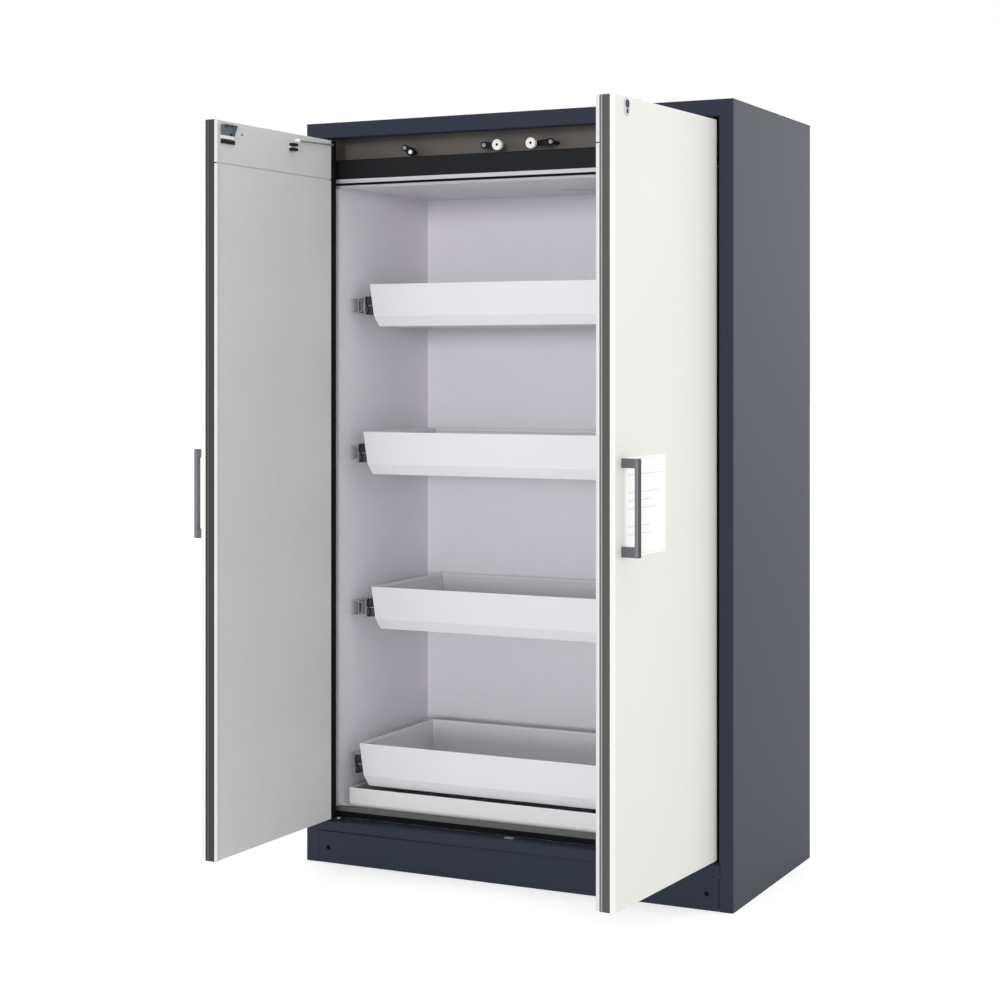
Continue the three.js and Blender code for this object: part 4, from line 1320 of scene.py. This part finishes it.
class CABINET_OT_trays(bpy.types.Operator):
    """Trays with folded rims and leaning walls, on their runners with black end caps"""

    bl_idname = "cabinet.trays"
    bl_label = "Trays"

    # Insets at the sides and at the front: of the wall's foot, and how far the wall leans in.
    foot, lean = np.array([21.5, 16.5]), np.array([10, 5])
    runner_drop, runner_half, runner_setback = 57, 26, 6
    flanges = ((-25, 14.5), (0, 26.5), (25, 14.5))
    cap_half, cap_inset, cap_wave, cap_setback = 24, 9.5, 4.5, 5.4
    cap_section, cap_steps = (2.4, 2.2), 25

    def execute(self, context):
        for number in TRAYS:
            self.tray(number, sizes())
        return {"FINISHED"}

    def tray(self, number, size):
        """The pan goes up its walls outside, over the rim in a half circle, and down inside by the
        sheet: leaning walls, and a steeper bend to the bottom."""
        body = f"tray_{number}"
        low, high = extent(body)
        runners = [mirrored(self.runner(low, high), side) for side in SIDES]
        caps = [self.end_cap(low, high, SIGN[side]) for side in SIDES]
        low[0], high[0] = -size.tray_half, size.tray_half
        wall, rim, top, bottom = size.tray_sheet, size.tray_rim, high[2], low[2]
        fold, hem, foot, lean = top - size.tray_wall, top - size.tray_hem, self.foot, self.lean
        outer = [[*foot, bottom], [*foot - 1.5, bottom + 1.2], [*lean + 0.5, fold - 0.6],
                 [*lean * 0.99, fold + 0.6]]
        over = arc(rim / 2, top - rim / 2, rim / 2, 180, 0, steps=8)
        start = lean * size.tray_hem / size.tray_wall
        inner = [[*start + rim, hem], [*start + wall, hem - 1], [*lean + wall, fold],
                 [*foot - 3 + wall, bottom + wall + 1.5], [*foot + wall, bottom + wall]]
        pan = carried(low, high, size.tray_corner, np.concatenate([outer, over, inner]), even=True)
        dressed(f"tray_pan_{number}", body, "tray_paint", "trays", pan, body)
        dressed(f"tray_runners_{number}", body, "rail_steel", "rails", joined(*runners))
        dressed(f"tray_end_caps_{number}", body, "black_plastic", "black", joined(*caps))

    def runner(self, low, high):
        """A web with three flanges; the middle one meets the wall of the tray."""
        outer, middle = high[0], high[2] - self.runner_drop
        start, stop = low[1] + self.runner_setback, high[1] - self.runner_setback
        limits = [(-self.runner_half, self.runner_half, 2)]
        limits += [(rise - 1, rise + 1, reach) for rise, reach in self.flanges]
        return joined(*[block([outer, start, middle + near], [outer - reach, stop, middle + far],
                              "y", 0.8, 0.4) for near, far, reach in limits])

    def end_cap(self, low, high, sign):
        """A black cap on the runner's end, drawn as an S: a wave of one turn carried upwards."""
        bottom = high[2] - self.runner_drop - self.cap_half
        share = np.linspace(0, 1, self.cap_steps)
        wave = sign * (high[0] - self.cap_inset) + self.cap_wave * np.sin(2 * math.pi * share)
        front = np.full(self.cap_steps, low[1] + self.cap_setback)
        path = np.stack([wave, front, bottom + 2 * self.cap_half * share], -1)
        return swept(circle(10) * self.cap_section, path, (0, 1, 0))


class CABINET_OT_rails(bpy.types.Operator):
    """Telescopic rails in zinc"""

    bl_idname = "cabinet.rails"
    bl_label = "Rails"

    def execute(self, context):
        for number in TRAYS:
            for side in SIDES:
                coated(f"middle_rail_{number}_{side}", "rails")
                coated(f"wall_rail_{number}_{side}", "rails")
        return {"FINISHED"}


class CABINET_OT_sump(bpy.types.Operator):
    """Sump: a flat pan with a folded rim on the floor of the cabinet"""

    bl_idname = "cabinet.sump"
    bl_label = "Sump"

    def execute(self, context):
        """The pan goes out round its foot, up and over the rim in a half circle, and back inside."""
        size = sizes()
        low, high = extent("sump_tray")
        wall, rim, foot = size.sump_sheet, size.tray_rim, size.sump_foot
        centre, hem = low[2] + foot, high[2] - size.tray_hem
        rows = np.concatenate([
            arc(foot, centre, foot, 270, 180, steps=6),
            arc(rim / 2, high[2] - rim / 2, rim / 2, 180, 0, steps=8),
            [[rim, rim, hem], [wall, wall, hem - 1]],
            arc(foot, centre, foot - wall, 180, 270, steps=6),
        ])
        dressed("sump_pan", "cabinet", "tray_paint", "sump",
                carried(low, high, size.tray_corner, rows, even=True), "sump_tray")
        return {"FINISHED"}


class CABINET_OT_spigot(bpy.types.Operator):
    """Exhaust spigot: a collar with a bead and a flange, and a rosette inside"""

    bl_idname = "cabinet.spigot"
    bl_label = "Exhaust Spigot"

    flange, flange_sheet, tube, wall, bead_drop = 55, 2, 37.5, 2, 8
    bead = ((0, -2), (1.2, -1.2), (1.7, 0), (1.2, 1.2), (0, 2))
    rosette, rosette_sheet = 45, 3

    def execute(self, context):
        """The collar is a ring: out along the flange, round its rim, up the tube over the bead, and
        down inside."""
        low, high = extent("exhaust_spigot")
        centre = [*(low + high)[:2] / 2, low[2]]
        flange, tube, top = self.flange, self.tube, high[2] - low[2]
        rim, sheet = 0.6, self.flange_sheet
        profile = [
            [tube - self.wall, 0], [flange - rim, 0], [flange, rim], [flange, sheet - rim],
            [flange - rim, sheet], [tube + 2.5, sheet], [tube + 0.7, sheet + 0.7], [tube, sheet + 2.5],
            *np.array(self.bead) + [tube, top - self.bead_drop],
            [tube, top - 0.4], [tube - 0.4, top], [tube - self.wall, top],
        ]
        dressed("exhaust_collar", "cabinet", "fitting_steel", "rails",
                spun(profile, centre, sides=72, closed=True), "exhaust_spigot")
        centre[2] = extent("board_ceiling")[0][2]
        rosette = spun(disc(self.rosette, -self.rosette_sheet, -GAP, edge=1.2), centre, sides=72)
        dressed("exhaust_rosette", "cabinet", "interior_board", "boards", rosette)
        return {"FINISHED"}


class CABINET_OT_sill_strike(bpy.types.Operator):
    """Small strike plate in the middle of the sill, for the doors' lower ends"""

    bl_idname = "cabinet.sill_strike"
    bl_label = "Sill Strike"

    plate_low, plate_high, plate_rise = (-22, -292), (4, -276), 3.5

    def execute(self, context):
        """A block on the sill."""
        top = sill_top()
        plate = block([*self.plate_low, top], [*self.plate_high, top + self.plate_rise], "z", 2, 0.8)
        dressed("sill_strike", "cabinet", "fitting_steel", "fitting", plate)
        return {"FINISHED"}


class CABINET_OT_stage(bpy.types.Operator):
    """Pale floor, white surroundings, soft lamps and the camera, in metres"""

    bl_idname = "cabinet.stage"
    bl_label = "Stage"

    camera_place, camera_turn = (2.201, -4.859, 1.314), 26.06
    camera_lens, camera_sensor, camera_shift = 72.09, 36, -0.135
    floor_half, floor_grey, floor_lift = 60, 0.86, 0.4
    ambient = 0.86

    # For each lamp its azimuth (0 in front of the doors, 90 on their right) and elevation in
    # degrees, its strength, and the angle that it fills.
    lamps = {"front_lamp": (17, 2, 1.17, 12), "upper_lamp": (0, 80, 0.9, 60),
             "rear_lamp": (166, 4, 0.36, 30)}

    def execute(self, context):
        scene = context.scene
        scene.view_settings.view_transform = "Standard"
        self.camera(scene)
        self.surroundings(scene)
        self.floor(scene)
        for name, values in self.lamps.items():
            self.lamp(scene, name, *values)
        return {"FINISHED"}

    def camera(self, scene):
        """A level camera, turned about z and shifted down."""
        lens = bpy.data.cameras.new("camera")
        lens.sensor_width = self.camera_sensor
        lens.lens = self.camera_lens
        lens.shift_y = self.camera_shift
        camera = bpy.data.objects.new("camera", lens)
        camera.location = self.camera_place
        camera.rotation_euler = (math.pi / 2, 0, math.radians(self.camera_turn))
        scene.collection.objects.link(camera)
        scene.camera = camera

    def seen(self, tree):
        """1 for rays that show the background: straight, mirrored and through glass."""
        rays = tree.nodes.new("ShaderNodeLightPath").outputs
        total = rays["Is Camera Ray"]
        for name in ("Is Glossy Ray", "Is Transmission Ray"):
            total = wired(tree, "ShaderNodeMath", 0, {}, {0: total, 1: rays[name]}, operation="MAXIMUM")
        return total

    def surroundings(self, scene):
        """White where it is seen, and a plain grey light elsewhere."""
        scene.world = bpy.data.worlds.new("surroundings")
        scene.world.use_nodes = True
        tree = scene.world.node_tree
        strength = wired(tree, "ShaderNodeMapRange", "Result", {"To Min": self.ambient, "To Max": 1},
                         {"Value": self.seen(tree)})
        background = tree.nodes["Background"]
        put(background, {"Color": (1, 1, 1, 1)})
        tree.links.new(strength, background.inputs["Strength"])

    def floor(self, scene):
        """A white floor, lifted a little where it is seen, so that only shadows show on it."""
        half, grey = self.floor_half, self.floor_grey
        mesh = bpy.data.meshes.new("floor")
        mesh.from_pydata([(-half, -half, 0), (half, -half, 0), (half, half, 0), (-half, half, 0)],
                         [], [(0, 1, 2, 3)])
        floor = bpy.data.objects.new("floor", mesh)
        scene.collection.objects.link(floor)
        finish = bpy.data.materials.new("floor")
        finish.use_nodes = True
        tree = finish.node_tree
        shader = tree.nodes["Principled BSDF"]
        put(shader, {"Base Color": (grey, grey, grey, 1), "Roughness": 0.9, "Specular IOR Level": 0,
                     "Emission Color": (1, 1, 1, 1)})
        lift = wired(tree, "ShaderNodeMath", 0, {1: self.floor_lift}, {0: self.seen(tree)},
                     operation="MULTIPLY")
        tree.links.new(lift, shader.inputs["Emission Strength"])
        mesh.materials.append(finish)

    def lamp(self, scene, name, azimuth, elevation, strength, softness):
        """A broad distant lamp."""
        light = bpy.data.lights.new(name, "SUN")
        light.energy = strength
        light.angle = math.radians(softness)
        lamp = bpy.data.objects.new(name, light)
        lamp.rotation_euler = (math.radians(90 - elevation), 0, math.radians(azimuth))
        scene.collection.objects.link(lamp)


OPERATORS = (
    CABINET_OT_stage, CABINET_OT_carcass, CABINET_OT_base, CABINET_OT_feet, CABINET_OT_boards,
    CABINET_OT_header, CABINET_OT_seal, CABINET_OT_arms, CABINET_OT_door_leaves,
    CABINET_OT_handles, CABINET_OT_keepers, CABINET_OT_stays, CABINET_OT_pivots,
    CABINET_OT_lock, CABINET_OT_label, CABINET_OT_trays, CABINET_OT_rails, CABINET_OT_sump,
    CABINET_OT_spigot, CABINET_OT_sill_strike,
)


class CABINET_PT_panel(bpy.types.Panel):
    """Lists the cabinet's pieces, sizes and colours"""

    bl_label = "Cabinet"
    bl_idname = "CABINET_PT_panel"
    bl_space_type = "VIEW_3D"
    bl_region_type = "UI"
    bl_category = "Cabinet"

    def draw(self, context):
        for operator in OPERATORS:
            self.layout.operator(operator.bl_idname)
        for group in (context.scene.cabinet_sizes, context.scene.cabinet_colours):
            box = self.layout.box()
            for name in group.bl_rna.properties.keys():
                if name not in ("rna_type", "name"):
                    box.prop(group, name)


CLASSES = (CabinetSizes, CabinetColours, *OPERATORS, CABINET_PT_panel)


def register():
    for one in CLASSES:
        bpy.utils.register_class(one)
    bpy.types.Scene.cabinet_sizes = bpy.props.PointerProperty(type=CabinetSizes)
    bpy.types.Scene.cabinet_colours = bpy.props.PointerProperty(type=CabinetColours)


def unregister():
    del bpy.types.Scene.cabinet_colours
    del bpy.types.Scene.cabinet_sizes
    for one in reversed(CLASSES):
        bpy.utils.unregister_class(one)


def main():
    register()
    for operator in OPERATORS:
        group, name = operator.bl_idname.split(".")
        getattr(getattr(bpy.ops, group), name)()


if __name__ == "__main__":
    main()
